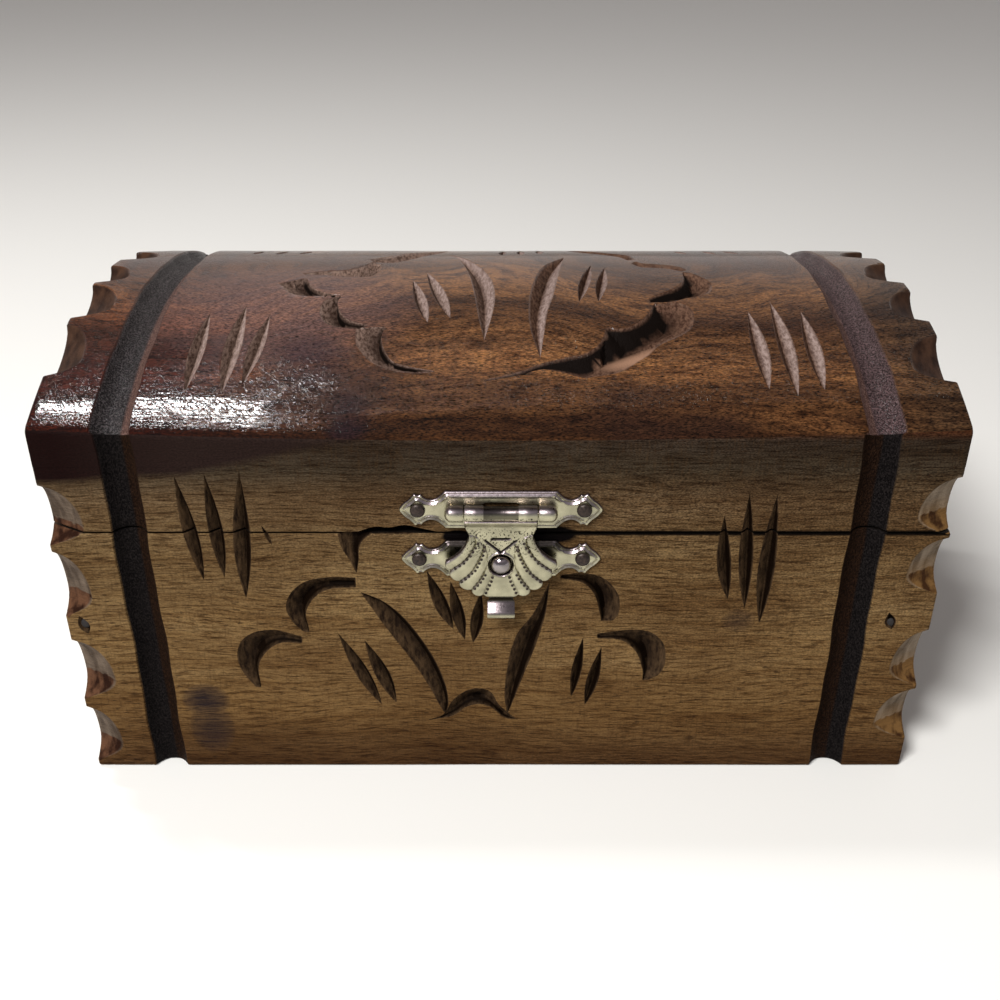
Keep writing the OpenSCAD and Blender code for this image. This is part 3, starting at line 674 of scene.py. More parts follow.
def arched_slab():
    """The arched top slab, carved, with its strap grooves and scooped end edges."""
    t0, t1 = slab_z, crease_z + 2 * half_arc + slab_edge
    crown_t = crease_z + half_arc
    low, high = (-half_length, t0), (half_length, t1)
    cuts = arch_carving()
    for c in cuts:
        for key in ("a", "b", "outline"):
            c[key] = c[key] + (0, crown_t)
        c["rows"] = [r + (0, crown_t) for r in c["rows"]]
    left = [(a + crown_t, b + crown_t) for a, b in left_arch_scoops]
    right = [(a + crown_t, b + crown_t) for a, b in right_arch_scoops]
    lines = [*groove_lines(arch_straps, crease_z, t1 - slab_edge), *scoop_lines(left, right),
             *end_lines(t0, t1), *groove_lines(front_straps, t0 - 1, crease_z),
             *groove_lines(front_straps, t1 - slab_edge, t1 + 1), *cut_lines(cuts)]
    x = np.linspace(-half_length, half_length, edge_points)
    for crease in (crease_z, crease_z + 2 * half_arc):
        for share in (-1, -0.6, -0.3, 0, 0.3, 0.6, 1):
            lines.append(np.column_stack([x, np.full(len(x), crease + share * crease_round)]))
    flat, triangles = triangulate(lines, low, high, wood_spacing)
    x, t = flat[:, 0], flat[:, 1]
    on_arch = np.clip((half_arc - np.abs(t - crown_t)) / 1.0 + 0.5, 0, 1)
    strap = np.zeros(len(x))
    for (mf, wf), (ma, wa) in zip(front_straps, arch_straps):
        middle = mf + (ma - mf) * on_arch
        width = wf + (wa - wf) * on_arch
        strap += groove_depth(x, middle, width, t)
    scoop = scoop_depth(x, t, left, right)
    carved, stop_wall, mark_wall = carved_face(flat, cuts)
    depth = np.maximum.reduce([strap, scoop, carved]) + arch_waves * (1 + ripple(x, t)) * on_arch
    depth += edge_round(half_length - np.abs(x), end_round)
    points = arch_place(x, t, depth)
    bottom, top, left_row, right_row = border_rows(flat, low, high)
    caps = [[*bottom, *top[::-1]], left_row, right_row]
    middle_s = np.abs(t[triangles].mean(1) - crown_t)
    top_faces = (middle_s < half_arc).astype(int)
    return finished(
        "carved_lid_slab", points, [*triangles, *caps], [face_wood, arch_wood, raw_wood, end_wood],
        "lid", ["lid_top"],
        {"cut": carved / crescent_depth, "wall": stop_wall, "mark_wall": mark_wall,
         "strap": strap / strap_depth, "scoop": scoop / scoop_end},
        face_materials=[*top_faces, 2, 3, 3])


def mirrored(points):
    """The points with the sign of x changed, in reverse order."""
    return [(-x, z) for x, z in reversed(points)]


def ring(x, z, radius, count=40):
    """A closed circle of points."""
    turn = np.linspace(0, 2 * np.pi, count + 1)
    return np.column_stack([x + radius * np.cos(turn), z + radius * np.sin(turn)])


def stamped(outline, holes, lines, spacing, front, back):
    """A sheet of metal in x, out and z: its front follows the height that `front` gives for each
    point, its back the height that `back` gives. Returns points, faces and the flat points."""
    low, high = outline.min(0) - 0.3, outline.max(0) + 0.3
    chains = [closed_line(outline), *holes, *lines]
    flat, triangles = triangulate(chains, low, high, spacing, clear=0.4)
    centre = flat[triangles].mean(1)
    kept = within(centre, outline)
    for hole in holes:
        kept &= ~within(centre, hole)
    flat, triangles = compacted(flat, triangles[kept])
    n = len(flat)
    edges = dict.fromkeys(e for a, b, c in triangles for e in ((a, b), (b, c), (c, a)))
    rim = [(a, b) for a, b in edges if (b, a) not in edges]
    walls = [(a, b, b + n, a + n) for a, b in rim]
    x, z = flat[:, 0], flat[:, 1]
    points = np.vstack([np.column_stack([x, front(flat), z]), np.column_stack([x, back(flat), z])])
    faces = [*map(tuple, triangles), *((c + n, b + n, a + n) for a, b, c in triangles), *walls]
    return points, faces, flat


def tube_faces(rows, around):
    """Faces between the neighbouring rings of a tube."""
    faces = []
    for row in range(rows - 1):
        for k in range(around):
            a, b = row * around + k, row * around + (k + 1) % around
            faces.append((a, b, b + around, a + around))
    return faces


def turned(profile, along_x, steps):
    """A closed solid turned from (distance along, radius) pairs that begin and end at radius 0.
    It runs along x, or along the way out of the front face."""
    profile = np.array(profile, float)
    turn = np.arange(steps) / steps * 2 * np.pi
    inner = profile[1:-1]
    points = []
    for along, radius in inner:
        around = (radius * np.cos(turn), radius * np.sin(turn))
        if along_x:
            points += list(zip(np.full(steps, along), *around))
        else:
            points += list(zip(around[0], np.full(steps, along), around[1]))
    ends = [profile[0, 0], profile[-1, 0]]
    points += [(e, 0, 0) if along_x else (0, e, 0) for e in ends]
    count = len(inner)
    faces = tube_faces(count, steps)
    first, last = count * steps, count * steps + 1
    for k in range(steps):
        m = (k + 1) % steps
        faces.append((first, m, k))
        faces.append((last, (count - 1) * steps + k, (count - 1) * steps + m))
    return np.array(points, float), faces


def moved(solid, x=0.0, out=0.0, z=0.0):
    points, faces = solid[:2]
    return points + (x, out, z), faces


def joined(*solids):
    """Several solids as one list of points and faces."""
    points, faces, first = [], [], 0
    for solid in solids:
        points.append(solid[0])
        faces += [tuple(first + i for i in f) for f in solid[1]]
        first += len(solid[0])
    return np.vstack(points), faces


def on_front(points, z):
    """Places points of x, out and z about the hasp's middle on the front face."""
    return np.column_stack([hasp_x + points[:, 0], -half_depth - points[:, 1], z + points[:, 2]])


# Outline of a hasp plate from its top middle to the point of its right ear
plate_quarter = [
    *smooth_line([(10.9, 4.1), (11.6, 3.35), (12.4, 2.65), (13.3, 2.3), (14.2, 2.35), (15.0, 2.8),
                  (15.5, 3.4)], 0.3)[:-1],
    *smooth_line([(15.5, 3.4), (15.9, 3.25), (16.3, 3.3), (16.8, 3.6)], 0.3)[:-1],
    *smooth_line([(16.8, 3.6), (17.3, 2.9), (18.0, 2.15), (18.8, 1.5), (19.6, 0.55)], 0.3)[:-1],
    *smooth_line([(19.6, 0.55), (19.75, 0.3), (19.8, 0.0)], 0.15)[:-1],
    (19.8, 0.0),
]
plate_field = 0.6
plate_rim = 0.25
plate_spacing = 0.3
knuckle_radius = 1.65
knuckle_half = 7.1


def plate_outline():
    right_top = np.array(plate_quarter)
    right_low = right_top[::-1][1:] * (1, -1)
    right = np.vstack([right_top, right_low])
    left = right[::-1] * (-1, 1)
    return np.vstack([right, left])


def plate_relief(outline):
    """Height of a hasp plate's front: a rounded edge, a channel, a fine ridge and a flat field."""
    def height(flat):
        d = line_distance(flat, closed_line(outline))
        edge = plate_rim + (plate_field - plate_rim) * np.sqrt(np.clip(d / 0.2, 0, 1))
        channel = 0.22 * np.exp(-(((d - 0.58) / 0.2) ** 2))
        return edge - channel + 0.18 * np.exp(-(((d - 1.0) / 0.17) ** 2))
    return height


def inset_lines(outline, distances):
    """Lines inside an outline at set distances from it."""
    around = closed_line(outline)
    way = np.roll(outline, -1, 0) - np.roll(outline, 1, 0)
    way /= np.linalg.norm(way, axis=1)[:, None]
    inward = np.column_stack([way[:, 1], -way[:, 0]])
    if not within(outline[:1] + 0.05 * inward[:1], outline)[0]:
        inward = -inward
    lines = []
    for distance in distances:
        shifted = closed_line(outline + distance * inward)
        good = line_distance(shifted, around) > distance - 0.02
        run = []
        for point, fits in zip(shifted, good):
            if fits:
                run.append(point)
            elif run:
                lines.append(np.array(run))
                run = []
        if run:
            lines.append(np.array(run))
    return [line for line in lines if len(line) > 2]


def hasp_plate(holes):
    outline = plate_outline()
    lines = inset_lines(outline, (0.07, 0.2, 0.4, 0.6, 0.8, 1.0, 1.2))
    return stamped(outline, holes, lines, plate_spacing, plate_relief(outline),
                   lambda flat: np.zeros(len(flat)))


def lid_hasp_plate():
    """The upper plate, with a slot behind the knuckle and a bullet shape at each side of it."""
    slot_half, slot_low, slot_high = 7.3, -1.6, 1.3
    notch_half, notch_high = 3.0, 1.75
    slot = np.array([
        (-slot_half, slot_low), (slot_half, slot_low), (slot_half, slot_high),
        (notch_half + 0.7, slot_high), (notch_half, notch_high), (-notch_half, notch_high),
        (-notch_half - 0.7, slot_high), (-slot_half, slot_high), (-slot_half, slot_low),
    ])
    slot = np.vstack([resampled(np.array([a, b]), 20)[:-1] for a, b in zip(slot, slot[1:])]
                     + [slot[-1:]])
    plate = hasp_plate([slot])
    r = knuckle_radius
    bullet = [(7.3, 0), (7.3, r * 0.94), (7.42, r)]
    bullet += [(9.6 + 1.4 * math.sin(a), r * math.cos(a)) for a in np.linspace(0, 1.45, 9)]
    bullet += [(11.0, 0)]
    right = moved(turned(bullet, True, 32), out=hasp_axis_out)
    left = moved(turned([(-a, b) for a, b in bullet], True, 32), out=hasp_axis_out)
    points, faces = joined(plate, left, right)
    return finished("hasp_lid_plate_stamped", on_front(points, hasp_z), faces, [nickel], "lid",
                    ["hasp_lid_plate"], sharp=50)


def catch_hasp_plate():
    """The lower plate."""
    points, faces, _ = hasp_plate([])
    aside, z = np.abs(points[:, 0]), points[:, 2]
    # Painted shade along the upper edge below the upper plate, and behind the flap
    upper_edge = np.clip((z - 0.8) / 1.6, 0, 1) * np.clip((15 - aside) / 2, 0, 1)
    behind_flap = np.clip((11.5 - aside) / 1.5, 0, 1) * np.clip(z + 0.6, 0, 1)
    return finished("hasp_catch_plate_stamped", on_front(points, catch_z), faces, [nickel], "box",
                    ["hasp_catch_plate"],
                    {"painted_shade_and_darkening": np.maximum(0.7 * upper_edge, 0.92 * behind_flap)}, sharp=50)


def catch_knob():
    """The ball-headed stud that the flap's hole goes over."""
    radius, neck = 2.08, 1.3
    base, middle, top = 0.5, 2.3, 4.2
    profile = [(base, 0), (base, neck), (1.3, neck), (1.6, 1.75)]
    for a in np.linspace(-0.35, math.pi / 2 - 0.08, 14):
        rise = (top - middle) * math.sin(a) if a > 0 else 0.9 * math.sin(a)
        profile.append((middle + rise, radius * math.cos(a)))
    profile.append((top, 0))
    points, faces = turned(profile, False, 48)
    return finished("hasp_catch_knob", on_front(points, catch_z), faces, [polished], "box",
                    ["hasp_catch_stud"], sharp=60)


# The flap, from its turning axis down: its left outline and the lines between its ribs
flap_side = [(-7.1, -1.0), (-7.1, -2.8), (-6.35, -4.6), (-6.6, -5.7), (-7.4, -7.3), (-8.4, -8.6),
             (-9.7, -9.7), (-10.9, -10.4)]
flap_lobes = [
    [(-10.9, -10.4), (-11.05, -11.1), (-10.7, -11.95), (-9.9, -12.45)],
    [(-9.9, -12.45), (-10.2, -13.3), (-9.7, -14.3), (-8.9, -14.95), (-8.3, -15.1)],
    [(-8.3, -15.1), (-8.3, -15.9), (-7.55, -16.7), (-6.6, -17.15), (-5.95, -17.2)],
    [(-5.95, -17.2), (-5.75, -17.8), (-4.95, -18.4), (-4.1, -18.6), (-3.4, -18.5)],
    [(-3.4, -18.5), (-3.0, -18.9), (-2.4, -19.0)],
]
rib_lines = [
    [(-6.2, -4.4), (-6.6, -5.7), (-7.4, -7.3), (-8.4, -8.6), (-9.7, -9.7), (-12.6, -11.6)],
    [(-5.3, -4.6), (-4.9, -6.3), (-6.2, -9.0), (-7.6, -10.7), (-9.4, -12.1), (-11.4, -13.6)],
    [(-4.3, -5.2), (-3.4, -7.2), (-3.9, -9.2), (-4.7, -11.0), (-5.95, -13.15), (-7.45, -14.6),
     (-9.4, -16.2)],
    [(-2.5, -8.6), (-2.7, -10.2), (-3.0, -12.0), (-3.45, -13.4), (-4.35, -15.1), (-5.5, -16.7),
     (-6.8, -18.6)],
    [(-1.9, -13.6), (-2.2, -14.9), (-2.75, -16.4), (-3.35, -17.9), (-3.9, -20.0)],
]
flap_back = 1.7
flap_front = 2.5
flap_spacing = 0.21
rib_rise = 0.45
chevron_width = 0.62
knob_hole = 2.42
stud_drop = hasp_z - catch_z


def flap_outline():
    left = list(map(tuple, smooth_line(flap_side[:2], 0.3)[:-1]))
    left += list(map(tuple, smooth_line(flap_side[1:], 0.3)[:-1]))
    for lobe in flap_lobes:
        left += list(map(tuple, smooth_line(lobe, 0.25)[:-1]))
    return np.array([*left, flap_lobes[-1][-1], *mirrored([*left, flap_lobes[-1][-1]])])


def raised(flat, ribs):
    """Height of the rounded ribs at each point."""
    height = np.zeros(len(flat))
    for rib in ribs:
        inside = np.where(within(flat, rib["outline"]))[0]
        to_a = line_distance(flat[inside], rib["a"])
        to_b = line_distance(flat[inside], rib["b"])
        share = to_a / np.maximum(to_a + to_b, 1e-9)
        wide = np.clip((to_a + to_b) / 1.6, 0, 1)
        here = rib["depth"] * wide * np.sin(np.pi * share**0.8) ** 0.75
        height[inside] = np.maximum(height[inside], here)
    return height


def slot_cut(start, end, width, depth):
    """A narrow straight groove."""
    start, end = np.array(start), np.array(end)
    across = np.array([start[1] - end[1], end[0] - start[0]])
    across = across / np.linalg.norm(across) * width / 2
    a = np.array([start + across, end + across])
    b = np.array([start - across, end - across])
    return cut(a, b, depth, valley=0.5, steep=2.5)


def flap_lean(flat):
    """Front of the flap before its relief: it comes off the knuckle and bends flat below it."""
    z = flat[:, 1]
    near = np.clip((z + 3.1) / 2.2, 0, 1)
    shell = np.clip((-z - 3.1) / 6, 0, 1)
    return flap_front + 1.0 * near * near * (3 - 2 * near) + 0.25 * shell


def flap_chevron():
    """The three straight grooves at the top of the shell."""
    return [
        slot_cut((-3.3, -5.5), (0.15, -8.5), chevron_width, 0.3),
        slot_cut((3.3, -5.5), (-0.15, -8.5), chevron_width, 0.3),
        slot_cut((-2.1, -5.35), (2.1, -5.35), chevron_width, 0.42),
    ]


def flap_knuckle():
    """The rolled barrel round the pin, a little thinner along its middle."""
    half, r = knuckle_half, knuckle_radius
    bevel, waist = 0.12, 0.16
    barrel = [(-half, 0), (-half, r - bevel), (-half + bevel, r),
              (-3.5, r), (-3.3, r - waist), (3.3, r - waist), (3.5, r),
              (half - bevel, r), (half, r - bevel), (half, 0)]
    return moved(turned(barrel, True, 48), out=hasp_axis_out)


def flap_front_darkening(flat, ribs, chevron):
    """Darker chevron grooves, and painted shade between the ribs, on the front of the flap's
    sheet.
    """
    in_chevron = np.clip(carved_depth(flat, chevron) / 0.25, 0, 1)
    low = 1 - np.clip(raised(flat, ribs) / (0.5 * rib_rise), 0, 1)
    on_shell = np.clip((-flat[:, 1] - 5.5) / 2, 0, 1) * (np.abs(flat[:, 0]) > 2.6)
    return np.maximum(in_chevron, 0.2 * low * on_shell)


def painted_flap_shade(points):
    """Painted shade in the bend above the pull lip and on the lip's upper slope, and a painted
    dark reflection on the knuckle's middle.
    """
    aside, z = np.abs(points[:, 0]), points[:, 2]
    in_bend = np.clip(1.6 - np.abs(z + 19.75) / 0.55, 0, 1)
    on_knuckle = (aside < 3.35) * (z > -0.4) * 0.75
    on_lip = np.clip((z + 22.6) / 1.4, 0, 0.55) * (z < -20)
    return np.maximum.reduce([in_bend, on_knuckle, on_lip])


def shell_flap():
    """The flap: knuckle, neck, ribbed shell with a chevron, collar for the knob, and pull lip."""
    left = [smooth_line(line, 0.4) for line in rib_lines]
    right = [line * (-1, 1) for line in left]
    ribs = [cut(a, b, rib_rise, rows=(0.2,)) for a, b in zip(left, left[1:])]
    ribs += [cut(a, b, rib_rise, rows=(0.2,)) for a, b in zip(right, right[1:])]
    chevron = flap_chevron()
    outline = flap_outline()
    hole = ring(0, -stud_drop, knob_hole)
    lines = [line for rib in [*ribs, *chevron] for line in (rib["a"], rib["b"])]
    lines += [line for groove in chevron for line in groove["rows"]]
    lines.append(ring(0, -stud_drop, knob_hole + 0.25))
    lines.append(ring(0, -stud_drop, knob_hole + 0.6))

    def front(flat):
        rim = line_distance(flat, closed_line(outline))
        from_knob = np.hypot(flat[:, 0], flat[:, 1] + stud_drop)
        collar = 0.3 * np.exp(-(((from_knob - knob_hole - 0.28) / 0.2) ** 2))
        away = np.clip((from_knob - knob_hole) / 1.2, 0, 1)
        relief = raised(flat, ribs) * away - carved_depth(flat, chevron) + collar
        return flap_lean(flat) + relief - edge_round(rim, 0.3)

    def back(flat):
        return flap_lean(flat) - (flap_front - flap_back)

    points, faces, flat = stamped(outline, [hole], lines, flap_spacing, front, back)
    on_neck = np.clip((-flat[:, 1] - 2.5) / 1.5, 0, 1) * np.clip((flat[:, 1] + 10) / 3, 0, 1)
    points, faces = joined((points, faces), flap_knuckle(), pull_lip())
    # The other points are those of the sheet's back, the knuckle and the lip
    others = points[len(flat):]
    # Painted shade, and the darker chevron grooves, for all the flap's points
    painted_shade_and_darkening = np.concatenate([flap_front_darkening(flat, ribs, chevron), painted_flap_shade(others)])
    speckled = np.concatenate([on_neck, (others[:, 2] > -1.7) * (others[:, 2] < -0.2)])
    finished("hasp_flap_shell", on_front(points, hasp_z), faces, [nickel], "hasp_flap",
             ["hasp_flap"], {"painted_shade_and_darkening": np.clip(painted_shade_and_darkening, 0, 1), "speckled": speckled},
             sharp=50)
    punched_dots(front)


def pull_lip():
    """The tab below the shell, bent in and then rolled out to a lip that a finger lifts."""
    middle = smooth_line([(2.1, -17.6), (1.95, -18.9), (1.75, -19.9), (2.0, -20.7), (2.9, -21.6),
                          (3.6, -22.3), (3.75, -22.85), (3.35, -23.2), (2.8, -23.0)], 0.22)
    thick = 0.33
    way = np.gradient(middle, axis=0)
    way /= np.linalg.norm(way, axis=1)[:, None]
    across = np.column_stack([-way[:, 1], way[:, 0]])
    wide = np.interp(middle[:, 1], [-20.6, -20.0], [2.75, 2.4])
    points = []
    for (out, z), (n_out, n_z), half in zip(middle, across, wide):
        for side, x in ((1, -half), (1, -half + 0.2), (1, half - 0.2), (1, half),
                        (-1, half), (-1, -half)):
            shift = side * thick * (0.7 if abs(x) == half and side > 0 else 1)
            points.append((x, out + n_out * shift, z + n_z * shift))
    around = len(points) // len(middle)
    ends = [tuple(range(around)), tuple(range(len(points) - around, len(points)))]
    return np.array(points), [*tube_faces(len(middle), around), *ends]


def set_input(tree, node, key, value):
    """Links the value if it is another node's output, and writes it if it is plain."""
    if isinstance(value, bpy.types.NodeSocket):
        tree.links.new(value, node.inputs[key])
    else:
        node.inputs[key].default_value = value


def add_node(tree, kind, inputs=None, **settings):
    """Adds a node with its settings and inputs."""
    node = tree.nodes.new(kind)
    for key, value in settings.items():
        setattr(node, key, value)
    for key, value in (inputs or {}).items():
        set_input(tree, node, key, value)
    return node


def add_ramp(tree, value, stops):
    """A colour for each value between the stops, which are (place, colour) pairs."""
    node = add_node(tree, "ShaderNodeValToRGB", {0: value})
    elements = node.color_ramp.elements
    while len(elements) < len(stops):
        elements.new(0.5)
    for element, (at, colour) in zip(elements, stops):
        element.position = at
        element.color = colour
    return node.outputs[0]


class Finish:
    """A material being built, with short calls for the nodes that it uses. Lengths are in mm."""

    def __init__(self, name):
        self.material = bpy.data.materials.new(name)
        self.material.use_nodes = True
        self.tree = self.material.node_tree
        self.shader = self.tree.nodes["Principled BSDF"]
        self.place = self.add("ShaderNodeTexCoord").outputs["Object"]

    def add(self, kind, inputs=None, **settings):
        return add_node(self.tree, kind, inputs, **settings)

    def scaled(self, x, y, z):
        """The place in mm, stretched along each axis."""
        scale = (x / MM, y / MM, z / MM)
        return self.add("ShaderNodeMapping", {"Vector": self.place, "Scale": scale}).outputs[0]

    def split(self, vector):
        return self.add("ShaderNodeSeparateXYZ", {0: vector}).outputs

    def vector(self, x, y, z):
        return self.add("ShaderNodeCombineXYZ", {0: x, 1: y, 2: z}).outputs[0]

    def math(self, operation, a, b=0.0, clamp=False):
        return self.add("ShaderNodeMath", {0: a, 1: b}, operation=operation,
                        use_clamp=clamp).outputs[0]

    def plus(self, a, b):
        return self.math("ADD", a, b)

    def minus(self, a, b):
        return self.math("SUBTRACT", a, b)

    def times(self, a, b):
        return self.math("MULTIPLY", a, b)

    def larger(self, a, b):
        return self.math("MAXIMUM", a, b)

    def without_sign(self, value):
        return self.math("ABSOLUTE", value)

    def fit(self, value, low, high, to_low=0.0, to_high=1.0):
        """The value carried from one range to another, and held inside it."""
        inputs = {"Value": value, "From Min": low, "From Max": high, "To Min": to_low,
                  "To Max": to_high}
        return self.add("ShaderNodeMapRange", inputs).outputs[0]

    def noise(self, vector, scale=1.0, detail=2.0, rough=0.5):
        inputs = {"Vector": vector, "Scale": scale, "Detail": detail, "Roughness": rough}
        return self.add("ShaderNodeTexNoise", inputs).outputs[0]

    def grain(self, parts, stretch, detail, rough=0.5, scale=1.0):
        """Noise drawn out along the wood: each part of the place is multiplied by its stretch."""
        place = self.vector(*(self.times(part, by) for part, by in zip(parts, stretch)))
        return self.noise(place, scale, detail, rough)

    def ramp(self, value, stops):
        return add_ramp(self.tree, value, stops)

    def mix(self, share, a, b, blend="MIX"):
        inputs = {0: share, 6: a, 7: b}
        return self.add("ShaderNodeMix", inputs, data_type="RGBA", blend_type=blend).outputs[2]

    def tinted(self, colour, tint):
        return self.mix(1.0, colour, tint, "MULTIPLY")

    def shades(self, value, low, high, dark, light):
        """A colour that goes from dark to light as the value goes from low to high."""
        return self.mix(self.fit(value, low, high), rgb(*dark), rgb(*light))

    def grey(self, value):
        return self.add("ShaderNodeCombineColor", {0: value, 1: value, 2: value}).outputs[0]

    def read(self, name):
        return self.add("ShaderNodeAttribute", attribute_name=name).outputs["Fac"]

    def bump(self, height, distance):
        inputs = {"Height": height, "Distance": distance * MM, "Strength": 1.0}
        return self.add("ShaderNodeBump", inputs).outputs[0]

    def spot(self, along, up, middle, size):
        """1 at the middle of an ellipse, falling to 0 at its edge."""
        near = self.math("DIVIDE", self.minus(along, middle[0]), size[0])
        high = self.math("DIVIDE", self.minus(up, middle[1]), size[1])
        return self.fit(self.plus(self.times(near, near), self.times(high, high)), 0, 1, 1, 0)

    def done(self, colour, roughness, normal, more):
        """Sets the shader's inputs and gives the material."""
        sockets = {"Base Color": colour, "Roughness": roughness, "Normal": normal,
                   "Coat Normal": normal, **more}
        for key, value in sockets.items():
            set_input(self.tree, self.shader, key, value)
        return self.material


# Along x, the left end's colours pass into the right end's between these places, in mm
across_box = (-60, 60)


def face_base(f, place, shade, fine):
    """Colour of the bare faces by their height, with fine grain, bands, clouds and flecks."""
    colour = f.ramp(shade, [
        (0.0, rgb(76, 54, 34)),
        (0.16, rgb(108, 84, 54)),
        (0.38, rgb(123, 101, 70)),
        (0.6, rgb(109, 90, 64)),
        (0.72, rgb(95, 78, 58)),
        (0.79, rgb(62, 54, 44)),
        (0.86, rgb(50, 42, 36)),
        (0.885, rgb(80, 46, 28)),
    ])
    colour = f.tinted(colour, f.ramp(fine, [
        (0.34, rgb(122, 108, 92)),
        (0.45, rgb(206, 196, 182)),
        (0.54, rgb(250, 248, 242)),
        (0.66, rgb(255, 250, 232)),
    ]))
    bands = f.grain(place, (0.016, 0.0, 0.3), 3, 0.6)
    colour = f.tinted(colour, f.ramp(bands, [
        (0.32, rgb(206, 194, 180)),
        (0.5, rgb(244, 240, 234)),
        (0.68, rgb(255, 255, 255)),
    ]))
    cloud = f.noise(f.scaled(0.025, 0.02, 0.04))
    colour = f.tinted(colour, f.ramp(cloud, [
        (0.32, rgb(214, 206, 200)),
        (0.6, rgb(255, 255, 255)),
    ]))
    colour = f.tinted(colour, f.shades(place[0], *across_box, (255, 255, 255), (246, 244, 243)))
    flecks = f.noise(f.scaled(2.2, 2.2, 0.3))
    return f.mix(f.fit(flecks, 0.46, 0.32, 0, 0.3), colour, rgb(54, 37, 20))


def face_stains(f, place, z, fine, colour):
    """The front's dark spots, a painted hasp shadow, the maroon band that narrows to the right
    under the crease, and the darkened seam to the right of the hasp."""
    x, y, level = place
    on_front_face = f.fit(y, -50.4, -51.0)
    stains = f.larger(f.spot(x, z, (-62.9, 18.6), (5.2, 4.8)),
                      f.times(f.spot(x, z, (49.2, 39.6), (3.5, 3)), 0.3))
    stains = f.larger(stains, f.times(f.spot(x, z, (-62.4, 11), (5, 7)), 0.7))
    stains = f.times(f.math("POWER", stains, 0.6), f.fit(fine, 0.3, 0.6, 1.15, 0.8))
    colour = f.mix(f.times(stains, on_front_face), colour, rgb(31, 24, 25))
    # Painted shadow of the hasp on the wood beside its neck, between the plates.
    painted_hasp_shadow = f.larger(f.spot(x, z, (10, 60.5), (6, 2.3)), f.spot(x, z, (-8.2, 60), (3.4, 1.7)))
    painted_hasp_shadow = f.times(f.math("MULTIPLY", painted_hasp_shadow, 2.5, clamp=True), on_front_face)
    colour = f.mix(painted_hasp_shadow, colour, rgb(5, 3, 3))
    band_edge = f.fit(x, -60, -14, 73.8, 84)
    band = f.fit(f.minus(level, band_edge), -0.8, 1.0)
    band = f.times(band, f.times(f.fit(x, -16, -40), f.fit(y, 40, 30)))
    colour = f.mix(band, colour, f.shades(x, -84, -60, (18, 6, 5), (31, 21, 18)))
    seam = f.fit(f.without_sign(f.minus(z, seam_z)), 0.75, 0.35)
    seam = f.times(f.times(seam, f.fit(x, 6, 11)), on_front_face)
    return f.mix(seam, colour, rgb(6, 4, 3))


def face_scoops(f, x, z, scooped, colour):
    """Colour of the corner scoops, paler on the right, with amber varnish in their low parts.
    Their pale grey-brown is partly a painted reflection of the bright floor.
    """
    worn = f.noise(f.scaled(0.5, 0.5, 0.15), detail=3)
    # The hollows' pale grey-brown is partly the wood and partly a painted reflection of the bright
    # floor.
    hollow = f.mix(f.fit(x, *across_box), f.shades(worn, 0.35, 0.65, (62, 51, 42), (95, 82, 70)),
                   f.shades(worn, 0.35, 0.65, (84, 71, 57), (122, 108, 92)))
    varnish = f.spot(x, z, (86, 12), (8, 4.5))
    for low in (26.5, 50.5, 64.0):
        varnish = f.larger(varnish, f.spot(x, z, (86, low), (8, 4.0)))
    hollow = f.mix(f.math("MULTIPLY", varnish, 0.25, clamp=True), hollow, rgb(120, 86, 42))
    colour = f.mix(f.fit(scooped, 0.01, 0.08), colour, hollow)
    ledge = f.mix(f.fit(x, *across_box), f.shades(worn, 0.4, 0.6, (34, 18, 11), (80, 54, 38)),
                  f.shades(worn, 0.38, 0.56, (50, 31, 17), (100, 73, 42)))
    return f.mix(f.fit(f.read("ledge"), 0.3, 0.7), colour, ledge)


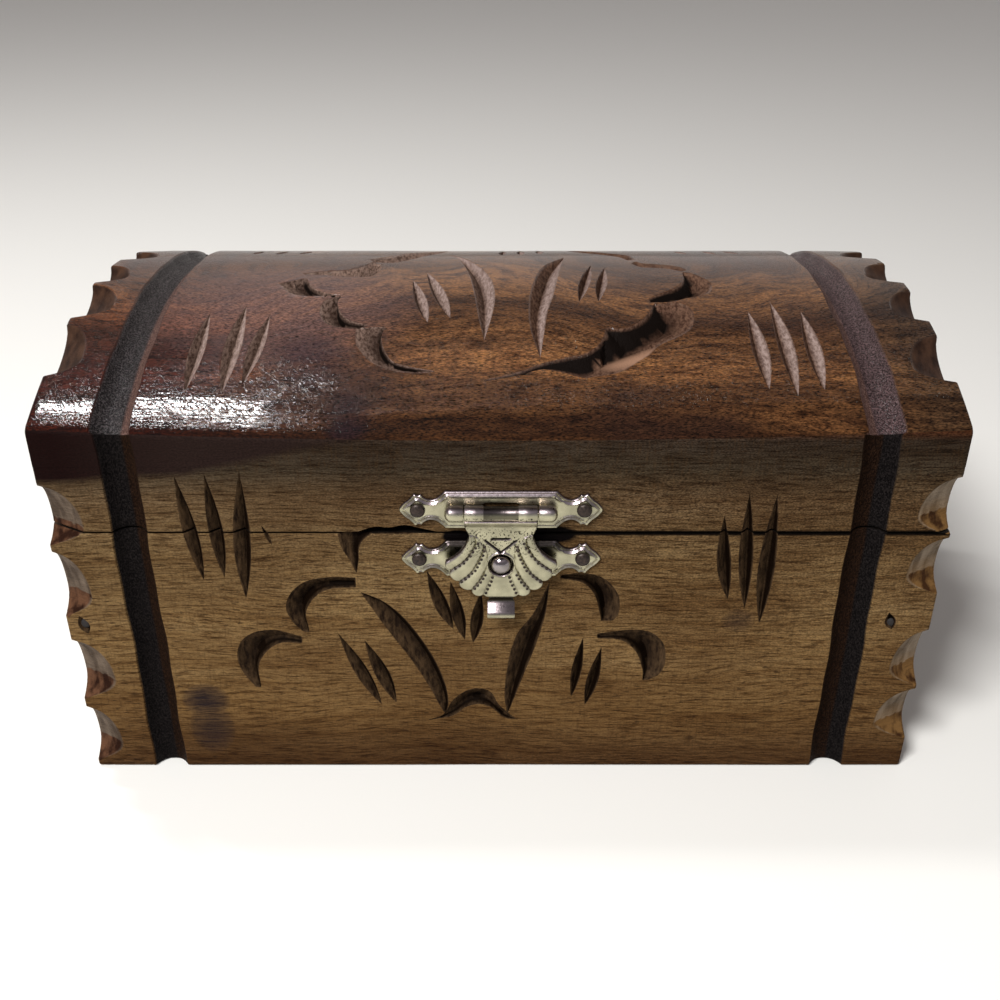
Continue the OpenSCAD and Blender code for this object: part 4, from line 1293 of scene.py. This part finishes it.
def face_finish():
    """Stained, nearly matt wood of the upright faces, whose grain runs along x."""
    f = Finish("stained_face_wood")
    x, y, z = f.split(f.scaled(1, 1, 1))
    waves = f.noise(f.scaled(0.016, 0.02, 0.05))
    level = f.plus(z, f.times(f.minus(waves, 0.5), 9.0))
    place = (x, y, level)
    fine = f.grain(place, (0.16, 0.5, 2.1), 4, 0.75)
    pores = f.grain(place, (0.42, 1.0, 3.4), 2)
    shade = f.math("DIVIDE", z, crown_z, clamp=True)
    colour = face_base(f, place, shade, fine)
    colour = f.mix(f.fit(pores, 0.41, 0.35, 0, 0.7), colour, rgb(36, 23, 12))
    colour = face_stains(f, place, z, fine, colour)
    dashes = f.fit(f.noise(f.scaled(2.2, 3.0, 4.2), rough=0.6), 0.3, 0.7, -1, 1)
    spread = f.times(f.fit(shade, 0.2, 0.7, 0.25, 0.62), f.fit(x, -70, 60, 0.6, 1.1))
    colour = f.tinted(colour, f.grey(f.plus(1.0, f.times(dashes, spread))))

    carved = f.read("cut")
    fibres = f.noise(f.scaled(1.1, 1.1, 0.3), detail=4, rough=0.65)
    gouged = f.shades(fibres, 0.38, 0.62, (28, 19, 12), (66, 50, 34))
    colour = f.mix(f.fit(carved, 0.0, 0.05), colour, gouged)
    colour = f.mix(f.fit(carved, 0.3, 0.9, 0, 0.8), colour, rgb(20, 13, 9))
    # Painted shade on the far walls of the gouge marks and leaves, and on the steep walls of the
    # stop cuts.
    painted_wall_shade = f.times(f.read("wall"), f.fit(carved, 0.0, 0.12))
    colour = f.mix(painted_wall_shade, colour, rgb(11, 5, 2))
    scooped = f.read("scoop")
    colour = face_scoops(f, x, z, scooped, colour)
    burnt = f.read("strap")
    grit = f.noise(f.scaled(3.4, 3.4, 2.2), rough=0.6)
    char = f.shades(grit, 0.42, 0.66, (10, 8, 8), (32, 28, 27))
    inner = f.plus(f.without_sign(x), f.times(waves, 0.8))
    inner = f.minus(inner, f.fit(x, *across_box, 0.0, 1.2))
    char = f.mix(f.fit(inner, 72.4, 71.9, 0, 0.9), char,
                 f.shades(grit, 0.42, 0.66, (19, 10, 6), (42, 26, 15)))
    colour = f.mix(f.fit(burnt, 0.02, 0.2), colour, char)

    tool_lines = f.noise(f.scaled(0.4, 0.4, 1.8), detail=3)
    height = f.plus(fine, f.times(pores, 0.4))
    height = f.plus(height, f.times(tool_lines, f.fit(scooped, 0, 0.1, 0, 1.5)))
    height = f.plus(height, f.times(grit, f.fit(burnt, 0.05, 0.3, 0, 2.4)))
    height = f.plus(height, f.times(fibres, f.fit(carved, 0.0, 0.1, 0, 1.2)))
    rough = f.fit(fine, 0.3, 0.7, 0.5, 0.6)
    return f.done(colour, rough, f.bump(height, 0.24), {"Specular IOR Level": 0.02})


def arch_base(f, figure, fine):
    """Colour of the bare arch: its wavy figure, its fine grain and dark clouds."""
    colour = f.ramp(figure, [
        (0.28, rgb(42, 25, 16)),
        (0.4, rgb(62, 39, 23)),
        (0.5, rgb(86, 58, 36)),
        (0.6, rgb(112, 77, 48)),
        (0.72, rgb(66, 42, 27)),
    ])
    colour = f.tinted(colour, f.ramp(fine, [
        (0.34, rgb(116, 102, 90)),
        (0.45, rgb(196, 186, 176)),
        (0.54, rgb(250, 246, 240)),
        (0.66, rgb(255, 250, 232)),
    ]))
    cloud = f.noise(f.scaled(0.02, 0.03, 0.03), 1.3)
    return f.mix(f.fit(cloud, 0.5, 0.36, 0, 0.6), colour, rgb(44, 27, 21))


def arch_stains(f, x, y, figure, colour):
    """The arch's stains and a painted reflection: maroon on the left, a grey patch of painted
    haze, blue patches, dark low front, grey end.
    """
    maroon = f.times(f.fit(x, -15, -65), f.fit(y, -8, -36, 0.4, 1))
    colour = f.mix(maroon, colour, f.tinted(colour, rgb(168, 112, 122)))
    # A painted grey haze: light reflected by the varnish, painted on the left of the arch.
    painted_grey_haze = f.spot(x, y, (-46, -12), (34, 24))
    colour = f.mix(f.times(painted_grey_haze, 0.5), colour, rgb(98, 76, 74))
    blue_patch = f.larger(f.spot(x, y, (-38, -33), (10, 9)), f.spot(x, y, (-29, -47), (5, 8)))
    blue_patch = f.times(blue_patch, f.fit(figure, 0.65, 0.35, 0.3, 1))
    colour = f.mix(f.times(blue_patch, 0.9), colour, rgb(30, 20, 29))
    colour = f.tinted(colour, f.shades(y, -30, -44, (255, 255, 255), (206, 200, 192)))
    return f.mix(f.fit(x, 66, 84, 0, 0.8), colour, f.tinted(colour, rgb(168, 190, 226)))


def arch_finish():
    """Varnished wood of the arch, with a wavy figure."""
    f = Finish("varnished_arch_wood")
    x, y, z = f.split(f.scaled(1, 1, 1))
    bend = f.minus(f.noise(f.scaled(0.016, 0.013, 0.013), rough=0.45), 0.5)
    across = f.plus(f.plus(y, 20.0), f.times(bend, 44.0))
    depth = f.plus(z, f.times(bend, 10.0))
    rings = f.math("SQRT", f.plus(f.times(across, across), f.times(depth, f.times(depth, 1.4))))
    place = (x, y, rings)
    figure = f.grain(place, (0.01, 0.0, 1.0), 3, 0.6, 0.28)
    fine = f.grain(place, (0.05, 0.0, 1.0), 4, 0.75, 3.0)
    pores = f.grain(place, (0.4, 0.0, 4.2), 2)
    colour = arch_base(f, figure, fine)
    colour = f.mix(f.fit(pores, 0.41, 0.35, 0, 0.55), colour, rgb(28, 14, 7))
    colour = arch_stains(f, x, y, figure, colour)
    dashes = f.fit(f.noise(f.scaled(1.4, 3.6, 3.6), rough=0.6), 0.3, 0.7, -1, 1)
    dashes = f.times(dashes, f.fit(y, -25, 15, 0.95, 0.4))
    colour = f.tinted(colour, f.grey(f.plus(1.0, dashes)))

    carved = f.read("cut")
    fibres = f.noise(f.scaled(1.8, 0.7, 1.8), detail=4, rough=0.65)
    # Cut floors left of the middle are painted paler: a painted sheen.
    gouged = f.mix(f.fit(x, 5, -15), f.shades(fibres, 0.38, 0.62, (48, 30, 22), (92, 68, 54)),
                   f.shades(fibres, 0.38, 0.62, (58, 42, 34), (116, 95, 84)))
    colour = f.mix(f.fit(carved, 0.0, 0.06), colour, gouged)
    colour = f.mix(f.fit(carved, 0.4, 1.0, 0, 0.7), colour, rgb(34, 21, 15))
    sliver = f.times(f.spot(x, y, (27, -32.5), (9, 4)), f.fit(carved, 0.0, 0.1))
    colour = f.mix(sliver, colour, rgb(132, 100, 80))
    # The far walls of the gouge marks and leaves are painted pale: a painted sheen of reflected
    # light.
    painted_sheen = f.shades(fibres, 0.4, 0.6, (104, 86, 79), (138, 120, 113))
    colour = f.mix(f.times(f.read("mark_wall"), 0.9), colour, painted_sheen)
    # Painted shade on the steep walls of the stop cuts.
    painted_wall_shade = f.times(f.read("wall"), f.fit(carved, 0, 0.2))
    colour = f.mix(painted_wall_shade, colour, rgb(13, 8, 6))
    scooped = f.read("scoop")
    worn = f.noise(f.scaled(0.5, 0.15, 0.4), detail=3)
    hollow = f.shades(worn, 0.35, 0.65, (32, 19, 13), (58, 39, 28))
    colour = f.mix(f.fit(scooped, 0.01, 0.08), colour, hollow)
    burnt = f.read("strap")
    grit = f.noise(f.scaled(3.0, 3.0, 3.0), rough=0.6)
    # The char's pale specks are painted glints, and the pale inner walls of the grooves are
    # painted as lit walls.
    char = f.mix(f.fit(x, *across_box), f.shades(grit, 0.44, 0.7, (12, 10, 10), (70, 64, 64)),
                 f.shades(grit, 0.4, 0.66, (26, 18, 18), (84, 66, 66)))
    char = f.mix(f.fit(f.without_sign(x), 72.0, 71.4, 0, 0.85), char,
                 f.shades(grit, 0.4, 0.66, (58, 38, 32), (102, 78, 70)))
    colour = f.mix(f.fit(burnt, 0.02, 0.2), colour, char)

    # Dust and brush marks stand sparsely in the varnish, so that its flat parts mirror the room
    slanted = f.vector(f.times(f.plus(x, y), 1.3), f.times(f.minus(x, y), 0.12), z)
    scratches = f.fit(f.noise(slanted, 1.4), 0.52, 0.66)
    brushed = f.noise(f.scaled(0.1, 1.2, 1.2))
    dust = f.fit(f.noise(f.scaled(2.8, 2.8, 2.8), rough=0.55), 0.52, 0.68)
    dusty = f.times(f.fit(y, -46.5, -43.5, 0.06, 0.6), f.fit(y, -33, -25, 1.0, 0.5))
    height = f.plus(f.times(brushed, 0.22), f.times(dust, dusty))
    height = f.plus(height, f.times(scratches, f.fit(x, -25, -55, 0, 0.42)))
    height = f.plus(height, f.times(grit, f.fit(burnt, 0.05, 0.3, 0, 3.0)))
    height = f.plus(height, f.times(fibres, f.fit(carved, 0.0, 0.1, 0, 1.6)))
    # The cuts, the straps, the scoops and the upright sides of the slab bear less varnish
    dull = f.larger(f.fit(carved, 0, 0.2), f.fit(burnt, 0.0, 0.3, 0, 0.45))
    dull = f.larger(dull, f.fit(scooped, 0, 0.1, 0, 0.85))
    dull = f.larger(dull, f.fit(f.without_sign(y), 50.2, 51.2))
    rough = f.plus(f.fit(fine, 0.3, 0.7, 0.46, 0.56), f.times(dull, 0.12))
    return f.done(colour, rough, f.bump(height, 0.075),
                  {"Coat Weight": f.fit(dull, 0, 1, 0.62, 0.0), "Coat Roughness": 0.045,
                   "Specular IOR Level": 0.03})


def raw_finish():
    """Plain wood of the inside, the joints and the underside."""
    f = Finish("raw_inner_wood")
    warp = f.noise(f.scaled(0.02, 0.05, 0.05))
    x, y, z = f.split(f.scaled(1, 1, 1))
    level = f.plus(f.plus(z, y), f.times(warp, 8.0))
    fine = f.grain((x, y, level), (0.04, 0.2, 1.0), 5, 0.6)
    colour = f.ramp(fine, [
        (0.3, rgb(104, 76, 50)),
        (0.5, rgb(150, 116, 80)),
        (0.7, rgb(128, 96, 64)),
    ])
    return f.done(colour, f.fit(fine, 0.3, 0.7, 0.6, 0.74), f.bump(fine, 0.12), {})


def end_finish():
    """Stained wood of the end boards, whose grain runs from front to back."""
    f = Finish("stained_end_wood")
    x, y, z = f.split(f.scaled(1, 1, 1))
    warp = f.noise(f.scaled(0.02, 0.02, 0.05))
    level = f.plus(z, f.times(warp, 9.0))
    fine = f.grain((x, y, level), (1.0, 0.035, 1.0), 5, 0.62, 1.1)
    pores = f.grain((x, y, level), (1.0, 0.2, 3.2), 2)
    colour = f.ramp(f.math("DIVIDE", z, crown_z, clamp=True), [
        (0.0, rgb(82, 58, 36)),
        (0.4, rgb(112, 84, 54)),
        (0.7, rgb(92, 68, 48)),
        (1.0, rgb(84, 54, 36)),
    ])
    colour = f.tinted(colour, f.ramp(fine, [
        (0.3, rgb(160, 150, 140)),
        (0.5, rgb(248, 246, 244)),
        (0.7, rgb(214, 204, 196)),
    ]))
    colour = f.mix(f.fit(pores, 0.36, 0.3, 0, 0.5), colour, rgb(44, 30, 20))
    # Dirt lies in the open seam, near the long faces
    seam = f.fit(f.without_sign(f.minus(z, seam_z)), 1.0, 0.6)
    seam = f.times(seam, f.fit(f.without_sign(y), 46.0, 48.5))
    colour = f.mix(seam, colour, rgb(12, 8, 5))
    return f.done(colour, f.fit(fine, 0.3, 0.7, 0.5, 0.62), f.bump(fine, 0.2),
                  {"Coat Weight": 0.04, "Coat Roughness": 0.25, "Specular IOR Level": 0.14})


def nickel_finish(name, rough, tone):
    """Bright plated metal with a fine grain, painted purple-grey where it faces up as a painted
    reflection of the dim room, and darkened where its points carry painted shade and darkening.
    """
    f = Finish(name)
    grain = f.noise(f.scaled(1, 1, 1), 1.6, 4, 0.6)
    cloud = f.noise(f.scaled(0.3, 0.3, 0.3))
    facing_up = f.split(f.add("ShaderNodeTexCoord").outputs["Normal"])[2]
    colour = f.shades(cloud, 0.35, 0.65, tone, [c * 0.84 for c in tone])
    # Parts that face up are painted purple-grey: a painted reflection of the dim room above.
    colour = f.mix(f.fit(facing_up, 0.25, 0.6), colour, rgb(136, 124, 127))
    # Darker where the points carry painted shade, and in the flap's low places.
    colour = f.mix(f.read("painted_shade_and_darkening"), colour, rgb(34, 30, 24))
    specks = f.fit(f.noise(f.scaled(1, 1, 1), 2.4), 0.56, 0.61)
    colour = f.mix(f.times(specks, f.read("speckled")), colour, rgb(48, 44, 36))
    rough = f.fit(grain, 0.3, 0.7, rough - 0.05, rough + 0.07)
    return f.done(colour, rough, f.bump(grain, 0.035), {"Metallic": 1.0})


def iron_finish(name, dark, light, rough, metallic):
    """Dark iron between two colours."""
    f = Finish(name)
    grain = f.noise(f.scaled(1, 1, 1), 1.8, 3)
    colour = f.shades(grain, 0.35, 0.65, dark, light)
    return f.done(colour, f.fit(grain, 0.3, 0.7, rough, rough + 0.16), f.bump(grain, 0.05),
                  {"Metallic": metallic})


face_wood = face_finish()
arch_wood = arch_finish()
raw_wood = raw_finish()
end_wood = end_finish()
nickel = nickel_finish("nickel_plate", 0.3, (178, 173, 146))
polished = nickel_finish("polished_knob", 0.1, (150, 143, 141))
hinge_nickel = nickel_finish("hinge_plate", 0.36, (190, 184, 164))
nail_iron = iron_finish("dark_nail_iron", (28, 21, 18), (56, 44, 38), 0.34, 0.6)
sunk_iron = iron_finish("sunk_nail_iron", (10, 6, 5), (24, 15, 11), 0.7, 0.0)


def bevelled_copy(name, node, width, material, body):
    """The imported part's own shape, with small bevels on its edges."""
    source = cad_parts[node]
    work = bmesh.new()
    work.from_mesh(source.data)
    bmesh.ops.remove_doubles(work, verts=work.verts, dist=1e-6)
    bmesh.ops.dissolve_limit(work, angle_limit=math.radians(1), verts=work.verts,
                             edges=work.edges)
    sharp = [e for e in work.edges if len(e.link_faces) == 2
             and e.calc_face_angle(0) > math.radians(30)]
    bmesh.ops.bevel(work, geom=sharp, offset=width * MM, segments=2, profile=0.5,
                    affect="EDGES", clamp_overlap=True)
    bmesh.ops.recalc_face_normals(work, faces=work.faces)
    mesh = bpy.data.meshes.new(name)
    work.to_mesh(mesh)
    work.free()
    mesh.materials.clear()
    mesh.materials.append(material)
    mesh.polygons.foreach_set("material_index", np.zeros(len(mesh.polygons), np.int32))
    mesh.shade_smooth()
    mesh.set_sharp_from_angle(angle=math.radians(35))
    return placed(name, mesh, body, [node])


def wooden_parts():
    carving = face_carving()
    face_board("carved_front_board", -1, 0, rim_z, front_inner_y, carving, 0.8, 0.35, "box",
               ["front_board"])
    face_board("carved_front_rail", -1, lid_z, slab_z, rail_high[1], carving, 0.35, 0, "lid",
               ["lid_front_rail"])
    face_board("grooved_back_board", 1, 0, rim_z, node_box("back_board")[0][1], [], 0.8, 0.35,
               "box", ["back_board"])
    face_board("grooved_back_rail", 1, lid_z, slab_z, node_box("lid_back_rail")[0][1], [], 0.35, 0,
               "lid", ["lid_back_rail"])
    arched_slab()
    for side in ("left", "right"):
        bevelled_copy(f"eased_{side}_end_board", f"{side}_end_board", 0.5, end_wood, "box")
        bevelled_copy(f"eased_{side}_end_rail", f"lid_{side}_end", 0.4, end_wood, "lid")
    bevelled_copy("eased_floor_board", "floor_board", 0.5, raw_wood, "box")


def hasp_parts():
    lid_hasp_plate()
    catch_hasp_plate()
    catch_knob()
    shell_flap()


def group_inputs(tree, inputs):
    """Adds named inputs to a geometry tree, and gives the nodes for its inputs and its output."""
    tree.interface.new_socket("Geometry", in_out="INPUT", socket_type="NodeSocketGeometry")
    for name, kind in inputs:
        tree.interface.new_socket(name, in_out="INPUT", socket_type=kind)
    tree.interface.new_socket("Geometry", in_out="OUTPUT", socket_type="NodeSocketGeometry")
    return tree.nodes.new("NodeGroupInput").outputs, tree.nodes.new("NodeGroupOutput").inputs


def real_instances(tree, given, instances, result):
    """Ends a tree: instances become a mesh, shaded smooth, in the given material."""
    real = add_node(tree, "GeometryNodeRealizeInstances", {0: instances}).outputs[0]
    smooth = add_node(tree, "GeometryNodeSetShadeSmooth", {"Geometry": real}).outputs[0]
    made = add_node(tree, "GeometryNodeSetMaterial", {"Geometry": smooth,
                                                      "Material": given["Material"]}).outputs[0]
    tree.links.new(made, result[0])


def nail_tree():
    """A domed nail at every point: a head that lies about the point and a shank below it."""
    tree = bpy.data.node_groups.new("nails", "GeometryNodeTree")
    given, result = group_inputs(tree, [
        ("Head Radius", "NodeSocketFloat"), ("Head Height", "NodeSocketFloat"),
        ("Shank Radius", "NodeSocketFloat"), ("Shank Length", "NodeSocketFloat"),
        ("Turn", "NodeSocketVector"), ("Material", "NodeSocketMaterial")])
    ball = add_node(tree, "GeometryNodeMeshUVSphere", {"Segments": 24, "Rings": 12, "Radius": 1.0})
    wide, high = given["Head Radius"], given["Head Height"]
    size = add_node(tree, "ShaderNodeCombineXYZ", {0: wide, 1: wide, 2: high}).outputs[0]
    head = add_node(tree, "GeometryNodeTransform", {"Geometry": ball.outputs["Mesh"],
                                                    "Scale": size}).outputs[0]
    pole = add_node(tree, "GeometryNodeMeshCylinder", {
        "Vertices": 16, "Radius": given["Shank Radius"], "Depth": given["Shank Length"]})
    middle = add_node(tree, "ShaderNodeMath", {0: given["Shank Length"], 1: -0.5},
                      operation="MULTIPLY").outputs[0]
    down = add_node(tree, "ShaderNodeCombineXYZ", {2: middle}).outputs[0]
    shank = add_node(tree, "GeometryNodeTransform", {"Geometry": pole.outputs["Mesh"],
                                                     "Translation": down}).outputs[0]
    nail = add_node(tree, "GeometryNodeJoinGeometry")
    tree.links.new(head, nail.inputs[0])
    tree.links.new(shank, nail.inputs[0])
    turn = add_node(tree, "FunctionNodeEulerToRotation", {0: given["Turn"]}).outputs[0]
    instances = add_node(tree, "GeometryNodeInstanceOnPoints", {
        "Points": given["Geometry"], "Instance": nail.outputs[0], "Rotation": turn}).outputs[0]
    real_instances(tree, given, instances, result)
    return tree


def dot_tree():
    """Small flattened dots at even distances along every line."""
    tree = bpy.data.node_groups.new("punched_dots", "GeometryNodeTree")
    given, result = group_inputs(tree, [
        ("Spacing", "NodeSocketFloat"), ("Dot Size", "NodeSocketVector"),
        ("Material", "NodeSocketMaterial")])
    curves = add_node(tree, "GeometryNodeMeshToCurve", {0: given["Geometry"]}).outputs[0]
    spread = add_node(tree, "GeometryNodeResampleCurve", {"Curve": curves}, mode="LENGTH")
    tree.links.new(given["Spacing"], spread.inputs["Length"])
    dot = add_node(tree, "GeometryNodeMeshIcoSphere", {"Radius": 1.0, "Subdivisions": 2})
    instances = add_node(tree, "GeometryNodeInstanceOnPoints", {
        "Points": spread.outputs[0], "Instance": dot.outputs["Mesh"],
        "Scale": given["Dot Size"]}).outputs[0]
    real_instances(tree, given, instances, result)
    return tree


def grown(name, tree, points, edges, values, body, replaced=()):
    """A piece that a geometry tree grows on points, or on lines between them, in millimetres."""
    seed_mesh = bpy.data.meshes.new(name + "_places")
    seed_mesh.from_pydata((np.asarray(points) * MM).tolist(), edges, [])
    places = bpy.data.objects.new(name + "_places", seed_mesh)
    scene.collection.objects.link(places)
    modifier = places.modifiers.new("grow", "NODES")
    modifier.node_group = tree
    for item in tree.interface.items_tree:
        if item.in_out == "INPUT" and item.name in values:
            modifier[item.identifier] = values[item.name]
    bpy.context.view_layer.update()
    shown = places.evaluated_get(bpy.context.evaluated_depsgraph_get())
    mesh = bpy.data.meshes.new_from_object(shown)
    mesh.name = name
    bpy.data.objects.remove(places)
    return placed(name, mesh, body, replaced)


def nails_of(node, name, tree, head_height, shank_radius, side, body, finish):
    """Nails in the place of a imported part's, whose box ends at the outer edges of its heads."""
    low, high = node_box(node)
    head_radius = (high[2] - low[2]) / 2
    face = low[1] if side < 0 else high[1]
    base = face - side * head_height
    z = (low[2] + high[2]) / 2
    length = high[1] - low[1] - head_height
    points = [(low[0] + head_radius, base, z), (high[0] - head_radius, base, z)]
    values = {
        "Head Radius": float(head_radius * MM),
        "Head Height": float(head_height * MM),
        "Shank Radius": float(shank_radius * MM),
        "Shank Length": float(length * MM),
        "Turn": (math.radians(-90 * side), 0.0, 0.0),
        "Material": finish,
    }
    grown(name, tree, points, [], values, body, [node])


def all_nails():
    tree = nail_tree()
    nails_of("front_board_nails", "sunk_front_nails", tree, 0.5, 0.7, -1, "box",
             sunk_iron)
    nails_of("back_board_nails", "sunk_back_nails", tree, 0.5, 0.7, 1, "box",
             sunk_iron)
    nails_of("hasp_catch_nails", "domed_catch_nails", tree, 0.7, 0.6, -1, "box",
             nail_iron)
    nails_of("hasp_lid_nails", "domed_hasp_nails", tree, 0.7, 0.6, -1, "lid",
             nail_iron)
    for side in ("left", "right"):
        for place, body in (("box", "box"), ("lid", "lid")):
            nails_of(f"{side}_hinge_{place}_nails", f"domed_{side}_hinge_{place}_nails", tree, 0.5,
                     0.5, 1, body, hinge_nickel)


def hinge_parts():
    for side in ("left", "right"):
        for place in ("box", "lid"):
            node = f"{side}_hinge_{place}_leaf"
            bevelled_copy(f"eased_{node}", node, 0.12, hinge_nickel, place)
        bevelled_copy(f"eased_{side}_hinge_pin", f"{side}_hinge_pin", 0.15, hinge_nickel, "lid")
    bevelled_copy("eased_hasp_pin", "hasp_pin", 0.15, nickel, "lid")


# Rows of punched dots on the left half of the flap
dot_rows = [
    [(-4.5, -6.2), (-4.9, -7.1), (-5.4, -8.0), (-6.0, -9.1), (-6.6, -9.8), (-7.3, -10.7),
     (-8.2, -11.4), (-9.0, -12.0)],
    [(-3.2, -7.1), (-3.3, -7.8), (-3.6, -9.2), (-4.0, -10.1), (-4.4, -11.0), (-5.0, -12.3),
     (-5.7, -13.1), (-6.4, -13.9), (-7.2, -14.6), (-7.8, -15.1)],
    [(-3.1, -13.4), (-3.5, -14.2), (-4.0, -15.1), (-4.6, -15.9), (-5.2, -16.7)],
    [(-1.7, -14.2), (-2.0, -15.5), (-2.4, -16.4), (-2.7, -17.1), (-3.0, -17.9)],
]


def punched_dots(surface):
    """Rows of dark punched dots that follow the flap's ribs."""
    points, edges = [], []
    for row in dot_rows:
        left = smooth_line(row, 0.3)
        for line in (left, left * (-1, 1)):
            first = len(points)
            out = surface(line) + 0.06
            points += list(zip(line[:, 0], out, line[:, 1]))
            edges += [(first + i, first + i + 1) for i in range(len(line) - 1)]
    values = {
        "Spacing": 0.95 * MM,
        "Dot Size": (0.3 * MM, 0.12 * MM, 0.3 * MM),
        "Material": nail_iron,
    }
    grown("punched_flap_dots", dot_tree(), on_front(np.array(points), hasp_z), edges, values,
          "hasp_flap")


wooden_parts()
hasp_parts()
hinge_parts()
all_nails()


def lamp(name, place, target, width, height, power):
    """A soft rectangular light that looks from its place to the target, both in mm."""
    data = bpy.data.lights.new(name, "AREA")
    data.shape = "RECTANGLE"
    data.size = width * MM
    data.size_y = height * MM
    data.energy = power
    light = bpy.data.objects.new(name, data)
    scene.collection.objects.link(light)
    way = Vector(target) - Vector(place)
    light.location = Vector(place) * MM
    light.rotation_euler = way.to_track_quat("-Z", "Y").to_euler()
    return light


def level_ramp(tree, value, stops, tint):
    """Levels of a tint for a value between the stops, which are (place, level) pairs."""
    return add_ramp(tree, value, [(at, (*(level * part for part in tint), 1))
                                  for at, level in stops])


def stage_and_lights():
    floor_mesh = bpy.data.meshes.new("floor")
    reach = 3.0
    floor_mesh.from_pydata([(-reach, -reach, 0), (reach, -reach, 0), (reach, reach, 0),
                            (-reach, reach, 0)], [], [(0, 1, 2, 3)])
    ground = bpy.data.materials.new("pale_floor")
    ground.use_nodes = True
    shader = ground.node_tree.nodes["Principled BSDF"]
    shader.inputs["Base Color"].default_value = rgb(226, 224, 219)
    shader.inputs["Roughness"].default_value = 0.6
    floor_mesh.materials.append(ground)
    floor = bpy.data.objects.new("floor", floor_mesh)
    scene.collection.objects.link(floor)

    world = bpy.data.worlds.new("room")
    scene.world = world
    world.use_nodes = True
    tree = world.node_tree
    background = tree.nodes["Background"]
    # Levels by the height of the direction: the varnish is seen to reflect the back of the room,
    # and the metal its front
    direction = add_node(tree, "ShaderNodeTexCoord").outputs["Generated"]
    _, deep, height = add_node(tree, "ShaderNodeSeparateXYZ", {0: direction}).outputs
    warm, cool = (1.0, 0.9, 0.86), (1.0, 1.0, 1.04)
    rear_levels = [(0.0, 0.8), (0.3, 0.56), (0.48, 0.24), (0.7, 0.1), (1.0, 0.1)]
    front_levels = [(0.06, 1.3), (0.16, 0.34), (0.5, 0.3), (0.75, 0.7), (0.93, 0.1)]
    rear = level_ramp(tree, height, rear_levels, warm)
    front = level_ramp(tree, height, front_levels, cool)
    share = add_node(tree, "ShaderNodeMapRange",
                     {"Value": deep, "From Min": -0.35, "From Max": 0.1}).outputs[0]
    lit = add_node(tree, "ShaderNodeMix", {0: share, 6: front, 7: rear},
                   data_type="RGBA").outputs[2]
    seen = add_node(tree, "ShaderNodeLightPath").outputs["Is Camera Ray"]
    colour = add_node(tree, "ShaderNodeMix", {0: seen, 6: lit, 7: rgb(236, 236, 238)},
                      data_type="RGBA").outputs[2]
    set_input(tree, background, "Color", colour)
    background.inputs["Strength"].default_value = 1.0

    lamp("key", (-238, 158, 690), (-326, -44, 90), 195, 18, 1.7)
    lamp("front", (-380, -560, 820), (0, -40, 50), 300, 200, 14.0)


def photo_camera():
    """The camera that sees the box as the photo does. It looks down by 30 degrees."""
    data = bpy.data.cameras.new("camera")
    data.sensor_width = 36.0
    data.lens = 42.3
    camera = bpy.data.objects.new("camera", data)
    scene.collection.objects.link(camera)
    camera.location = (0.0002, -0.2488, 0.1820)
    camera.rotation_euler = (math.radians(90 - 30), 0, 0)
    scene.camera = camera
    scene.view_settings.view_transform = "Standard"


stage_and_lights()
photo_camera()
